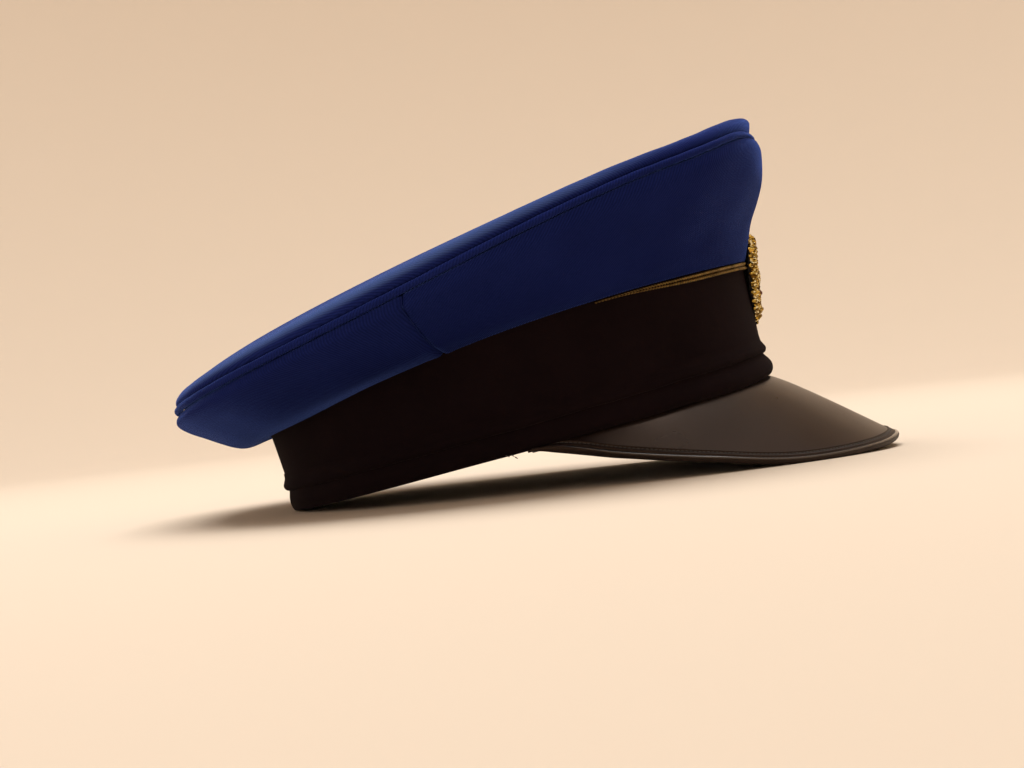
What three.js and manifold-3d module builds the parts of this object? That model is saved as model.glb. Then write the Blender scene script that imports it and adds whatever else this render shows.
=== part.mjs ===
// Peaked uniform cap of a pilot: a domed blue crown that rises to the front, a tall black band,
// a sloping glossy peak, gold braid and a wreath badge in gold wire.
//
// Lengths are in millimetres. The cap faces -Y, +Z is up and +X is the wearer's left. Every piece
// is first drawn square to the band, whose lower edge lies in the plane z = 0 with its middle at
// the origin. The last lines tip the whole cap back until it rests on the back of its band and
// on the edge of its peak. A turn is an angle round the head: 0 is the front, 90 the wearer's left.
import * as THREE from 'three';
import { mergeVertices } from 'three/addons/utils/BufferGeometryUtils.js';
import Module from 'manifold-3d';

const wasm = await Module();
wasm.setup();

const degrees = THREE.MathUtils.degToRad;
const { lerp, smoothstep } = THREE.MathUtils;

// Driving dimensions
const GAP = 0.3; // between pieces that are sewn together
const AROUND = 72; // sections round the head
const CLOTH = 1.5; // wall of the crown
const PEAK_SHEET = 1.5;
const SAME_SPOT = 1e-3; // corners closer than this are one

// The band is an ellipse in plan that widens a little upwards. Its middle lies a little forward.
const BAND = { halfLength: 102.3, halfWidth: 86.3, flare: 2.4, height: 48, wall: 2, forward: 0.3 };

// The crown's edge is a loop in a plane of its own, raised at the front. It is squarer at the back.
const CROWN = {
  frontLength: 132,
  frontExponent: 2.2,
  backLength: 130.7,
  backExponent: 2.4,
  halfWidth: 125,
  forward: -7,
  height: 74.5,
  tilt: degrees(10.05),
};
const PIPING = { radius: 1.4, sides: 8 };
// Side seams between the front and the back panel, with half the slit there, both in degrees
const SEAM = { turn: 103.5, slit: 0.1 };
const PANEL_STEPS = { front: 42, back: 30 };

// Section of the crown's top, from its rim to its middle: distance in from the piping, rise at the
// sides, and how much lower it is at the front and higher at the back. The front's rim is squarer.
const TOP_ROWS = [
  { inward: 0.4, rise: 1.95, lean: -0.2 },
  { inward: 0.6, rise: 3.8, lean: -0.6 },
  { inward: 2.6, rise: 5.9, lean: -0.8 },
  { inward: 7.5, rise: 6.8, lean: -0.3 },
  { inward: 25, rise: 8.4, lean: 1.6 },
  { inward: 60, rise: 9.3, lean: 1.6 },
  { inward: CROWN.backLength, rise: 9.5, lean: 0 },
];

// Height of the side panels' lower edge on the band, every 30 degrees from the front to the back.
const HEM_STEP = degrees(30);
const HEM_ROWS = [
  { height: 47.4 },
  { height: 47.3 },
  { height: 47 },
  { height: 44.8 },
  { height: 40 },
  { height: 33.6 },
  { height: 31.6 },
];

// How a side panel swells between its lower and its upper edge, at the front, the side and the
// back of the cap: shares of the way out and of the way up.
const PANEL_ROWS = [
  { frontOut: 0.0, frontUp: 0.0, sideOut: 0.0, sideUp: 0.0, backOut: 0.0, backUp: 0.0 },
  { frontOut: 0.13, frontUp: 0.15, sideOut: 0.2, sideUp: 0.1, backOut: 0.2, backUp: 0.0 },
  { frontOut: 0.32, frontUp: 0.32, sideOut: 0.42, sideUp: 0.28, backOut: 0.43, backUp: 0.08 },
  { frontOut: 0.66, frontUp: 0.5, sideOut: 0.64, sideUp: 0.49, backOut: 0.69, backUp: 0.28 },
  { frontOut: 0.9, frontUp: 0.67, sideOut: 0.84, sideUp: 0.68, backOut: 0.9, backUp: 0.56 },
  { frontOut: 1.01, frontUp: 0.85, sideOut: 0.98, sideUp: 0.84, backOut: 1.0, backUp: 0.8 },
  { frontOut: 1.0, frontUp: 1.0, sideOut: 1.0, sideUp: 1.0, backOut: 1.0, backUp: 1.0 },
];
// How far the panels' lower edge stands off the band
const LAP = { front: 1.85, side: 1.2, back: 0.4 };
// Where their upper edge lies, from the middle of the piping
const PANEL_TOP = { outward: 0.7, below: 2 };

// Cord and padded roll on the band: points of their sections, out from the band's face and up.
// Both lie a little higher at the front.
const CORD = { height: 10.8, frontLift: 0.7 };
const CORD_SECTION = [
  { out: GAP, up: -2 },
  { out: 1.3, up: -1.6 },
  { out: 1.9, up: 0 },
  { out: 1.3, up: 1.6 },
  { out: GAP, up: 2 },
];
// The roll's swell is a share of what it has at that turn.
const ROLL_SECTION = [
  { swell: 0, up: 0.5 },
  { swell: 0.7, up: 0.6 },
  { swell: 1, up: 2.9 },
  { swell: 0.92, up: 5 },
  { swell: 0.3, up: 7.5 },
  { swell: 0, up: 8.5 },
];
const ROLL = { frontOut: 2.7, backOut: 1.1, frontLift: 0.7 };

// Gold braid under the panels' edge at the front. It thins out as it is tucked under the edge.
const BRAID = { turn: 66, fullTurn: 36, height: 3.1, endHeight: 0.5, out: 2.1, chamfer: 0.2, steps: 34 };

// The peak spans from the band's lower edge to an outer loop that droops. It swells slightly, most
// near the band: the swell is that of a peak as deep as swellDepth, and swellBias moves its crest.
const PEAK = {
  steps: 44,
  innerTurn: 90.5,
  innerOut: -0.8,
  outerTurn: 100,
  halfLength: 133,
  halfWidth: 90,
  exponent: 2.1,
  forward: 15,
  swell: 2,
  swellDepth: 66.5,
  swellBias: 0.55,
};
// Droop of the outer edge below the band, every 20 degrees from the front
const PEAK_STEP = degrees(20);
const PEAK_ROWS = [
  { drop: 38 },
  { drop: 38.3 },
  { drop: 33.7 },
  { drop: 22.8 },
  { drop: 11.6 },
  { drop: 0.6 },
];
const PEAK_SHARES = [0, 0.2, 0.45, 0.75, 1];
// The binding thins out towards the peak's ends, which are tucked in under the roll.
const BINDING = { width: 5.2, thickness: 3, sides: 8, fullTurn: 86, endSize: 0.4 };

// The badge is a plate bent round the front of the cap, leaning out at its top.
const BADGE = {
  halfWidth: 18.6,
  halfHeight: 19.2,
  felt: 1.2,
  columns: 12,
  endCut: 0.35, // left off the oval's pointed ends, as a share of a column
  forward: 108.1,
  height: 41,
  lean: degrees(10.5),
  bend: 80,
};
const WREATH = {
  halfWidth: 14,
  halfHeight: 15,
  footTurn: 169,
  tipTurn: 38,
  stem: 0.8,
  stemSides: 6,
  stemSteps: 14,
  leaves: 7,
  firstLeaf: 0.4, // place of the first pair, as a share of the space between pairs
  leafLength: 4,
  leafWidth: 2.2,
  leafDepth: 1,
  leafRoot: 0.8, // distance from a leaf's middle to the stem, as a share of its half length
  leafSplay: degrees(36),
};
const BOSS_SIDES = 16;
const BOSS_PROFILE = [
  { radius: 0, out: 0 },
  { radius: 6.2, out: 0 },
  { radius: 6.2, out: 0.8 },
  { radius: 5, out: 1.2 },
  { radius: 3.4, out: 2 },
  { radius: 0, out: 2.4 },
];

// Point from its distance forward, to the wearer's left and up
function place(forward, side, up) {
  return new THREE.Vector3(side, -forward, up);
}

// Rounded loop in plan. Exponent 2 is an ellipse, and a larger one is squarer.
function loop(halfLength, halfWidth, exponent, turn) {
  const cos = Math.cos(turn);
  const sin = Math.sin(turn);
  const bulk = Math.abs(cos / halfLength) ** exponent + Math.abs(sin / halfWidth) ** exponent;
  const reach = bulk ** (-1 / exponent);
  return { forward: reach * cos, side: reach * sin };
}

// Value of a table's column between its rows, along a smooth curve that is level at both ends
function smooth(rows, column, position) {
  const last = rows.length - 1;
  const i = Math.min(Math.floor(position), last - 1);
  const t = position - i;
  const row = (k) => rows[last - Math.abs(last - Math.abs(k))][column];
  const slope0 = (row(i + 1) - row(i - 1)) / 2;
  const slope1 = (row(i + 2) - row(i)) / 2;
  const rise = row(i + 1) - row(i);
  return row(i) + t * (slope0 + t * (3 * rise - 2 * slope0 - slope1 + t * (slope0 + slope1 - 2 * rise)));
}

// The same angle measured from the front on either side, from 0 to pi
function fold(turn) {
  return Math.acos(Math.cos(turn));
}

// Value that goes smoothly from front to side to back
function blend(turn, front, side, back) {
  const end = Math.cos(turn) > 0 ? front : back;
  return lerp(end, side, Math.sin(turn) ** 2);
}

// Turns from one angle to another in equal steps, in degrees, both ends included
function turns(from, to, steps) {
  return Array.from({ length: steps + 1 }, (_, i) => degrees(lerp(from, to, i / steps)));
}

const FULL_CIRCLE = turns(0, 360, AROUND).slice(0, AROUND);

// 1 at the front of the cap, fading to nothing within about 45 degrees
function frontShare(turn) {
  return Math.max(Math.cos(turn), 0) ** 8;
}

// Closed body from corner points and triangles: equal corners merged, collapsed triangles
// dropped, faces outwards
function body(corners, triangles) {
  const raw = new THREE.BufferGeometry().setFromPoints(corners);
  raw.setIndex(triangles.flat());
  const merged = mergeVertices(raw, SAME_SPOT);
  const spots = merged.getAttribute('position');
  const all = Array.from(merged.getIndex().array);
  const faces = [];
  let volume = 0;
  for (let i = 0; i < all.length; i += 3) {
    const [a, b, c] = all.slice(i, i + 3);
    if (a === b || b === c || c === a) continue;
    const [p, q, r] = [a, b, c].map((k) => new THREE.Vector3().fromBufferAttribute(spots, k));
    volume += p.dot(q.cross(r));
    faces.push([a, b, c]);
  }
  merged.setIndex((volume < 0 ? faces.map(([a, b, c]) => [a, c, b]) : faces).flat());
  return merged;
}

// Body through a row of sections, each a ring of the same number of points. A closed row joins
// its last section to its first, and an open one is capped across the ring at both ends.
function loft(sections, closed) {
  const ring = sections[0].length;
  const count = sections.length;
  const triangles = [];
  const quad = (a, b, c, d) => triangles.push([a, b, c], [a, c, d]);
  for (let i = 0; i < (closed ? count : count - 1); i++) {
    const here = i * ring;
    const there = ((i + 1) % count) * ring;
    for (let j = 0; j < ring; j++) {
      const k = (j + 1) % ring;
      quad(here + j, there + j, there + k, here + k);
    }
  }
  if (!closed) {
    const end = (count - 1) * ring;
    for (let j = 0; j < Math.floor((ring - 1) / 2); j++) {
      const [a, b, c, d] = [j, j + 1, ring - 2 - j, ring - 1 - j];
      quad(a, b, c, d);
      quad(end + d, end + c, end + b, end + a);
    }
  }
  return body(sections.flat(), triangles);
}

// Section of a wall: up the outer face at rows 0 to last, then back down a thickness inside it
function wallSection(surface, turn, last, thickness) {
  const step = degrees(1);
  const outer = [];
  const inner = [];
  for (let k = 0; k <= last; k++) {
    const point = surface(turn, k);
    const along = surface(turn + step, k).sub(surface(turn - step, k));
    const across = surface(turn, Math.min(k + 1, last)).sub(surface(turn, Math.max(k - 1, 0)));
    const normal = along.cross(across).normalize();
    outer.push(point);
    inner.unshift(point.clone().addScaledVector(normal, -thickness));
  }
  return [...outer, ...inner];
}

// Point on the band's outer face, or a distance out from it
function bandFace(turn, height, out = 0) {
  const grown = out + (BAND.flare * height) / BAND.height;
  const { forward, side } = loop(BAND.halfLength + grown, BAND.halfWidth + grown, 2, turn);
  return place(BAND.forward + forward, side, height);
}

// Point from its place in the crown's own plane
function crownPoint(forward, side, rise) {
  const cos = Math.cos(CROWN.tilt);
  const sin = Math.sin(CROWN.tilt);
  return place(CROWN.forward + forward * cos - rise * sin, side, CROWN.height + forward * sin + rise * cos);
}

// Point over the crown's edge loop, moved in towards the middle and up from it
function crownEdge(turn, inward, rise) {
  const share = 1 - inward / CROWN.backLength;
  const isFront = Math.cos(turn) > 0;
  const length = isFront ? CROWN.frontLength : CROWN.backLength;
  const exponent = isFront ? CROWN.frontExponent : CROWN.backExponent;
  const { forward, side } = loop(length, CROWN.halfWidth, exponent, turn);
  return crownPoint(forward * share, side * share, rise);
}

// Band: a straight wall, open at both ends
function bandWall() {
  const section = (turn) => [
    bandFace(turn, 0),
    bandFace(turn, BAND.height),
    bandFace(turn, BAND.height, -BAND.wall),
    bandFace(turn, 0, -BAND.wall),
  ];
  return loft(FULL_CIRCLE.map(section), true);
}

// Covered cord, sewn flat against the band
function bandCord() {
  const section = (turn) => {
    const height = CORD.height + CORD.frontLift * frontShare(turn);
    return CORD_SECTION.map(({ out, up }) => bandFace(turn, height + up, out));
  };
  return loft(FULL_CIRCLE.map(section), true);
}

// Padded roll round the band's lower edge, fuller at the front
function bandRoll() {
  const section = (turn) => {
    const swollen = blend(turn, ROLL.frontOut, (ROLL.frontOut + ROLL.backOut) / 2, ROLL.backOut) - GAP;
    const lift = ROLL.frontLift * frontShare(turn);
    return ROLL_SECTION.map(({ swell, up }) => bandFace(turn, up + lift, GAP + swell * swollen));
  };
  return loft(FULL_CIRCLE.map(section), true);
}

// Braid: a flat strip on the band's face, close under the panels' lower edge
function goldBraid() {
  const full = degrees(BRAID.fullTurn);
  const section = (turn) => {
    const top = hem(turn) - GAP;
    const taper = smoothstep(Math.abs(turn), full, degrees(BRAID.turn));
    const foot = top - lerp(BRAID.height, BRAID.endHeight, taper);
    const chamfer = BRAID.chamfer * (top - foot);
    return [
      bandFace(turn, foot, GAP),
      bandFace(turn, foot + chamfer, BRAID.out),
      bandFace(turn, top - chamfer, BRAID.out),
      bandFace(turn, top, GAP),
    ];
  };
  return loft(turns(-BRAID.turn, BRAID.turn, BRAID.steps).map(section), false);
}

function hem(turn) {
  return smooth(HEM_ROWS, 'height', fold(turn) / HEM_STEP);
}

// Outer face of the side panels, by the rows of their table
function panelFace(turn, k) {
  const row = PANEL_ROWS[k];
  const out = blend(turn, row.frontOut, row.sideOut, row.backOut);
  const up = blend(turn, row.frontUp, row.sideUp, row.backUp);
  const low = bandFace(turn, hem(turn), blend(turn, LAP.front, LAP.side, LAP.back));
  const high = crownEdge(turn, -PANEL_TOP.outward, -PANEL_TOP.below);
  return new THREE.Vector3(lerp(low.x, high.x, out), lerp(low.y, high.y, out), lerp(low.z, high.z, up));
}

// Side panel between two turns in degrees
function sidePanel(from, to, steps) {
  const section = (turn) => wallSection(panelFace, turn, PANEL_ROWS.length - 1, CLOTH);
  return loft(turns(from + SEAM.slit, to - SEAM.slit, steps).map(section), false);
}

// Cord round the crown's edge
function crownPiping() {
  const section = (turn) =>
    Array.from({ length: PIPING.sides }, (_, i) => {
      const angle = (2 * Math.PI * i) / PIPING.sides;
      return crownEdge(turn, PIPING.radius * Math.cos(angle), PIPING.radius * Math.sin(angle));
    });
  return loft(FULL_CIRCLE.map(section), true);
}

// Crown's top: a shallow dome with a rolled rim. Its inner face lies a wall inside, square to
// the outer one in section.
function crownTop() {
  const inner = TOP_ROWS.map((row, k) => {
    const before = TOP_ROWS[Math.max(k - 1, 0)];
    const after = TOP_ROWS[Math.min(k + 1, TOP_ROWS.length - 1)];
    const isMiddle = row === after;
    const run = after.inward - before.inward;
    const climb = isMiddle ? 0 : after.rise - before.rise;
    const scale = CLOTH / Math.hypot(run, climb);
    const inward = isMiddle ? row.inward : row.inward + climb * scale;
    return { inward, rise: row.rise - run * scale, lean: row.lean };
  });
  const profile = [...TOP_ROWS, ...inner.reverse()];
  const section = (turn) =>
    profile.map(({ inward, rise, lean }) => crownEdge(turn, inward, rise - lean * Math.cos(turn)));
  return loft(FULL_CIRCLE.map(section), true);
}

// Upper face of the peak and its binding. Along goes from -1 at the wearer's right end to 1 at
// the left end, and share from 0 at the band to 1 at the outer edge.
function peakPoint(along, share) {
  const root = bandFace(degrees(PEAK.innerTurn) * along, -GAP, PEAK.innerOut);
  const turn = degrees(PEAK.outerTurn) * along;
  const { forward, side } = loop(PEAK.halfLength, PEAK.halfWidth, PEAK.exponent, turn);
  const edge = place(PEAK.forward + forward, side, -smooth(PEAK_ROWS, 'drop', Math.abs(turn) / PEAK_STEP));
  const depth = edge.distanceTo(root);
  const point = root.lerp(edge, share);
  point.z += (PEAK.swell * Math.sin(Math.PI * share ** PEAK.swellBias) * depth) / PEAK.swellDepth;
  return { point, depth };
}

// Size of the binding along the peak's edge, as a share of its full size
function bindingSize(along) {
  const thinned = smoothstep(PEAK.outerTurn * Math.abs(along), BINDING.fullTurn, PEAK.outerTurn);
  return lerp(1, BINDING.endSize, thinned);
}

// Peak: one sheet that ends where its binding begins
function peakSheet() {
  const last = PEAK_SHARES.length - 1;
  const surface = (along, k) => {
    const { depth } = peakPoint(along, 1);
    const reach = 1 - (BINDING.width * bindingSize(along) + GAP) / depth;
    return peakPoint(along, reach * PEAK_SHARES[last - k]).point;
  };
  const stations = Array.from({ length: PEAK.steps + 1 }, (_, i) => lerp(-1, 1, i / PEAK.steps));
  return loft(stations.map((along) => wallSection(surface, along, last, PEAK_SHEET)), false);
}

// Binding: a round rim along the peak's outer edge
function peakBinding() {
  const stations = Array.from({ length: PEAK.steps + 1 }, (_, i) => lerp(-1, 1, i / PEAK.steps));
  const nudge = 0.01;
  const nearEdge = 0.9;
  const section = (along) => {
    const { point: edge } = peakPoint(along, 1);
    const inward = peakPoint(along, nearEdge).point.sub(edge).normalize();
    const ahead = peakPoint(along + nudge, 1).point.sub(peakPoint(along - nudge, 1).point);
    const upward = ahead.cross(inward).normalize();
    const halfWidth = (BINDING.width * bindingSize(along)) / 2;
    const halfThickness = (BINDING.thickness * bindingSize(along)) / 2;
    const middle = edge.addScaledVector(inward, halfWidth).addScaledVector(upward, -PEAK_SHEET / 2);
    return Array.from({ length: BINDING.sides }, (_, i) => {
      const angle = (2 * Math.PI * (i + 0.5)) / BINDING.sides;
      return middle
        .clone()
        .addScaledVector(inward, Math.cos(angle) * halfWidth)
        .addScaledVector(upward, Math.sin(angle) * halfThickness);
    });
  };
  return loft(stations.map(section), false);
}

// Bends a flat drawing of the badge to its place on the front of the cap. In the drawing x runs
// to the wearer's left, y up the badge and z out from its back.
function bendToFront(geometry) {
  const spots = geometry.getAttribute('position');
  for (let i = 0; i < spots.count; i++) {
    const [across, high, out] = [spots.getX(i), spots.getY(i), spots.getZ(i)];
    const angle = across / BADGE.bend;
    const ahead = (BADGE.bend + out) * Math.cos(angle) - BADGE.bend;
    const side = (BADGE.bend + out) * Math.sin(angle);
    const forward = BADGE.forward + ahead * Math.cos(BADGE.lean) + high * Math.sin(BADGE.lean);
    const up = BADGE.height + high * Math.cos(BADGE.lean) - ahead * Math.sin(BADGE.lean);
    const spot = place(forward, side, up);
    spots.setXYZ(i, spot.x, spot.y, spot.z);
  }
  return geometry;
}

// Oval felt plate, cut in rows so that it bends smoothly
function badgeBacking() {
  const section = (i) => {
    const angle = (Math.PI * (i + BADGE.endCut)) / (BADGE.columns + 2 * BADGE.endCut);
    const across = -BADGE.halfWidth * Math.cos(angle);
    const high = BADGE.halfHeight * Math.sin(angle);
    return [
      new THREE.Vector3(across, -high, 0),
      new THREE.Vector3(across, high, 0),
      new THREE.Vector3(across, high, BADGE.felt),
      new THREE.Vector3(across, -high, BADGE.felt),
    ];
  };
  return bendToFront(loft(Array.from({ length: BADGE.columns + 1 }, (_, i) => section(i)), false));
}

// Solid for joining, from a geometry whose equal corners are merged
function toSolid(geometry) {
  const bare = geometry.clone();
  bare.deleteAttribute('normal');
  bare.deleteAttribute('uv');
  const merged = mergeVertices(bare, SAME_SPOT);
  const triVerts = new Uint32Array(merged.getIndex().array);
  const vertProperties = new Float32Array(merged.getAttribute('position').array);
  return new wasm.Manifold(new wasm.Mesh({ numProp: 3, vertProperties, triVerts }));
}

// Leafy branch of the wreath: a stem with leaves in pairs, joined into one body. Side is 1 for the
// wearer's left and -1 for the right.
function badgeBranch(side) {
  const base = BADGE.felt + GAP + WREATH.leafDepth;
  const stemPoint = (turn) => {
    const { forward: high, side: across } = loop(WREATH.halfHeight, WREATH.halfWidth, 2, turn);
    return new THREE.Vector3(side * across, high, base);
  };
  const path = new THREE.CatmullRomCurve3(
    turns(WREATH.footTurn, WREATH.tipTurn, WREATH.stemSteps).map(stemPoint),
  );
  const round = new THREE.Shape().absarc(0, 0, WREATH.stem, 0, 2 * Math.PI);
  const stemShape = {
    steps: WREATH.stemSteps,
    curveSegments: WREATH.stemSides,
    extrudePath: path,
    bevelEnabled: false,
  };
  let branch = toSolid(new THREE.ExtrudeGeometry(round, stemShape));
  const leafShape = new THREE.OctahedronGeometry(1, 0);
  leafShape.scale(WREATH.leafWidth, WREATH.leafLength, WREATH.leafDepth);
  leafShape.translate(0, WREATH.leafLength * WREATH.leafRoot, 0);
  for (let i = 0; i < WREATH.leaves; i++) {
    const t = (i + WREATH.firstLeaf) / WREATH.leaves;
    const heading = path.getTangent(t);
    for (const splay of [-WREATH.leafSplay, WREATH.leafSplay]) {
      const leaf = leafShape.clone();
      leaf.rotateZ(Math.atan2(-heading.x, heading.y) + splay);
      leaf.translate(...path.getPoint(t).toArray());
      branch = branch.add(toSolid(leaf));
    }
  }
  const { vertProperties, triVerts } = branch.getMesh();
  const geometry = new THREE.BufferGeometry();
  geometry.setAttribute('position', new THREE.BufferAttribute(vertProperties, 3));
  geometry.setIndex(new THREE.BufferAttribute(triVerts, 1));
  return bendToFront(geometry);
}

// Plain domed boss
function badgeBoss() {
  const profile = BOSS_PROFILE.map(({ radius, out }) => new THREE.Vector2(radius, out));
  const dome = new THREE.LatheGeometry(profile, BOSS_SIDES);
  dome.rotateX(Math.PI / 2);
  dome.translate(0, 0, BADGE.felt + GAP);
  return bendToFront(dome);
}

function material(color, roughness, metalness = 0) {
  return new THREE.MeshStandardMaterial({ color, roughness, metalness });
}

const BLUE = 0x1b2c66;
const BLACK = 0x141013;
const GOLD = 0xb88a33;

// Every piece of the cap: its name, shape and material
const PIECES = [
  ['crown_top', crownTop(), material(BLUE, 0.85)],
  ['crown_piping', crownPiping(), material(BLUE, 0.8)],
  ['crown_side_front', sidePanel(-SEAM.turn, SEAM.turn, PANEL_STEPS.front), material(BLUE, 0.85)],
  ['crown_side_back', sidePanel(SEAM.turn, 360 - SEAM.turn, PANEL_STEPS.back), material(BLUE, 0.85)],
  ['band', bandWall(), material(BLACK, 0.95)],
  ['band_cord', bandCord(), material(BLACK, 0.95)],
  ['band_roll', bandRoll(), material(BLACK, 0.95)],
  ['gold_braid', goldBraid(), material(GOLD, 0.45, 0.7)],
  ['peak', peakSheet(), material(0x1a1516, 0.2)],
  ['peak_binding', peakBinding(), material(0x1a1516, 0.25)],
  ['badge_backing', badgeBacking(), material(BLACK, 0.95)],
  ['badge_branch_left', badgeBranch(1), material(GOLD, 0.4, 0.8)],
  ['badge_branch_right', badgeBranch(-1), material(GOLD, 0.4, 0.8)],
  ['badge_boss', badgeBoss(), material(GOLD, 0.4, 0.8)],
];

const cap = new THREE.Group();
for (const [name, geometry, look] of PIECES) {
  const mesh = new THREE.Mesh(geometry, look);
  mesh.name = name;
  cap.add(mesh);
}

// Lowest points of the front half and of the back half, with the front raised by a tilt
function feet(tilt) {
  const lowest = { front: Infinity, back: Infinity };
  for (const mesh of cap.children) {
    const spots = mesh.geometry.getAttribute('position');
    for (let i = 0; i < spots.count; i++) {
      const half = spots.getY(i) < 0 ? 'front' : 'back';
      const height = spots.getZ(i) * Math.cos(tilt) - spots.getY(i) * Math.sin(tilt);
      lowest[half] = Math.min(lowest[half], height);
    }
  }
  return lowest;
}

// The tilt at which both halves stand on the same level, found by halving
function restTilt() {
  const halvings = 40;
  let [low, high] = [0, degrees(30)];
  for (let i = 0; i < halvings; i++) {
    const middle = (low + high) / 2;
    const { front, back } = feet(middle);
    if (front < back) low = middle;
    else high = middle;
  }
  return low;
}

cap.rotation.x = -restTilt();
const box = new THREE.Box3().setFromObject(cap, true);
const middle = box.getCenter(new THREE.Vector3());
cap.position.set(-middle.x, -middle.y, -box.min.z);

export default cap;
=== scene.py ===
"""Peaked uniform cap of a pilot: a domed blue crown that rises to the front, a tall black band,
a sloping glossy peak, gold braid and a wreath badge in gold wire."""
import math

import bmesh
import bpy
import numpy as np
from mathutils import Matrix, Vector


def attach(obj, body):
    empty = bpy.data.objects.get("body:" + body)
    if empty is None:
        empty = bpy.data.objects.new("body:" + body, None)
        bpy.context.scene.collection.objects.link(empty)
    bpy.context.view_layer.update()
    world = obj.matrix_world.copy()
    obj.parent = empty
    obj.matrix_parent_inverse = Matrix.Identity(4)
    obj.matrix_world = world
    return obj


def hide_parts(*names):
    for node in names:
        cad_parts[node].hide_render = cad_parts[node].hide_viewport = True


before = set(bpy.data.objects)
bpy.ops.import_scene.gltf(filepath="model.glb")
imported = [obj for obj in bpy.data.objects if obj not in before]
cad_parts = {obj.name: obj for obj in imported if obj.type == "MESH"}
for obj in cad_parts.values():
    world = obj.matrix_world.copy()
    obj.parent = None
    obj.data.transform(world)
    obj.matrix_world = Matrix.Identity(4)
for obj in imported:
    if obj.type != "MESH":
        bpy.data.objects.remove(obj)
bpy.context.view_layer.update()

# Band. A tall strip of black wool cloth, sewn into a loop that fits the head and stiffened so
# that it stands up by itself. It widens a little upwards. Every other piece is sewn to it, so
# the whole cap is drawn square to the band, in millimetres, and then laid down as it rests.
BAND_HALF_LENGTH = 102.3
BAND_HALF_WIDTH = 86.3
BAND_FLARE = 2.4
BAND_HEIGHT = 48
BAND_WALL = 2
BAND_SLACK = 0.22
BAND_FORWARD = 0.3
REST_LEAN = math.radians(9.73216)
REST_BACK = 4.1178
REST_UP = 17.24235
BAND_COLUMNS = 300
BAND_ROWS = 25
WOOL_WEAVE = 0.0007
WOOL_DARK = (0.0036, 0.0016, 0.0022, 1)
WOOL_LIGHT = (0.0088, 0.0042, 0.0052, 1)
WOOL_LINT = (0.07, 0.06, 0.055, 1)


def at_rest(points):
    """Points given as forward, to the wearer's left and up, in millimetres, on the resting cap."""
    forward, side, up = np.moveaxis(np.asarray(points, float), -1, 0)
    y = up * math.sin(REST_LEAN) - forward * math.cos(REST_LEAN) + REST_BACK
    z = up * math.cos(REST_LEAN) + forward * math.sin(REST_LEAN) + REST_UP
    return np.stack([side, y, z], axis=-1) / 1000


def oval(half_length, half_width, exponent, turn):
    """Rounded loop in plan: exponent 2 is an ellipse, and a larger one is squarer."""
    cos = np.cos(turn)
    sin = np.sin(turn)
    bulk = np.abs(cos / half_length) ** exponent + np.abs(sin / half_width) ** exponent
    reach = bulk ** (-1 / exponent)
    return reach * cos, reach * sin


def stack(forward, side, up):
    """Points from their three parts, which are spread over each other as needed."""
    return np.stack(np.broadcast_arrays(forward, side, up), axis=-1)


def band_face(turn, height, out=0.0):
    """Points on the band's outer face, or a distance out from it."""
    grown = out + BAND_FLARE * height / BAND_HEIGHT
    forward, side = oval(BAND_HALF_LENGTH + grown, BAND_HALF_WIDTH + grown, 2, turn)
    return stack(BAND_FORWARD + forward, side, height)


def curve_through(points, count):
    """Points spread along a smooth curve through a few given ones."""
    points = np.asarray(points, float)
    steps = np.sqrt(np.linalg.norm(np.diff(points, axis=0), axis=1))
    knots = np.concatenate([[0], np.cumsum(steps)])
    slopes = np.gradient(points, knots, axis=0)
    spots = np.linspace(0, knots[-1], count)
    k = np.clip(np.searchsorted(knots, spots, side="right") - 1, 0, len(knots) - 2)
    span = (knots[k + 1] - knots[k])[:, None]
    t = (spots - knots[k])[:, None] / span
    rise = points[k + 1] - points[k]
    start = slopes[k] * span
    end = slopes[k + 1] * span
    return points[k] + t * (start + t * (3 * rise - 2 * start - end + t * (start + end - 2 * rise)))


def cloth_wall(outer, thickness, closed=True, pole=None):
    """Sections of a cloth wall, from its outer face: a folded edge at each side and an inner face.
    A pole is the way out of the cloth at the last row, where that is a single point."""
    along = np.roll(outer, -1, 0) - np.roll(outer, 1, 0)
    if not closed:
        along[0] = outer[1] - outer[0]
        along[-1] = outer[-1] - outer[-2]
    across = np.gradient(outer, axis=1)
    normal = np.cross(along, across)
    if pole is not None:
        normal[:, -1] = pole
    normal /= np.linalg.norm(normal, axis=2, keepdims=True)
    inner = outer - normal * thickness

    def fold(k, heading):
        middle = (outer[:, k] + inner[:, k]) / 2
        heading = heading / np.linalg.norm(heading, axis=1, keepdims=True)
        rounds = [math.radians(a) for a in (36, 72, 108, 144)]
        return [
            middle + thickness / 2 * (math.cos(a) * normal[:, k] + math.sin(a) * heading) for a in rounds
        ]

    low = fold(0, outer[:, 0] - outer[:, 1])[::-1]
    high = [] if pole is not None else fold(-1, outer[:, -1] - outer[:, -2])
    rows = [*np.moveaxis(outer, 1, 0), *high, *np.moveaxis(inner, 1, 0)[::-1], *low]
    return np.stack(rows, axis=1)


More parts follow.
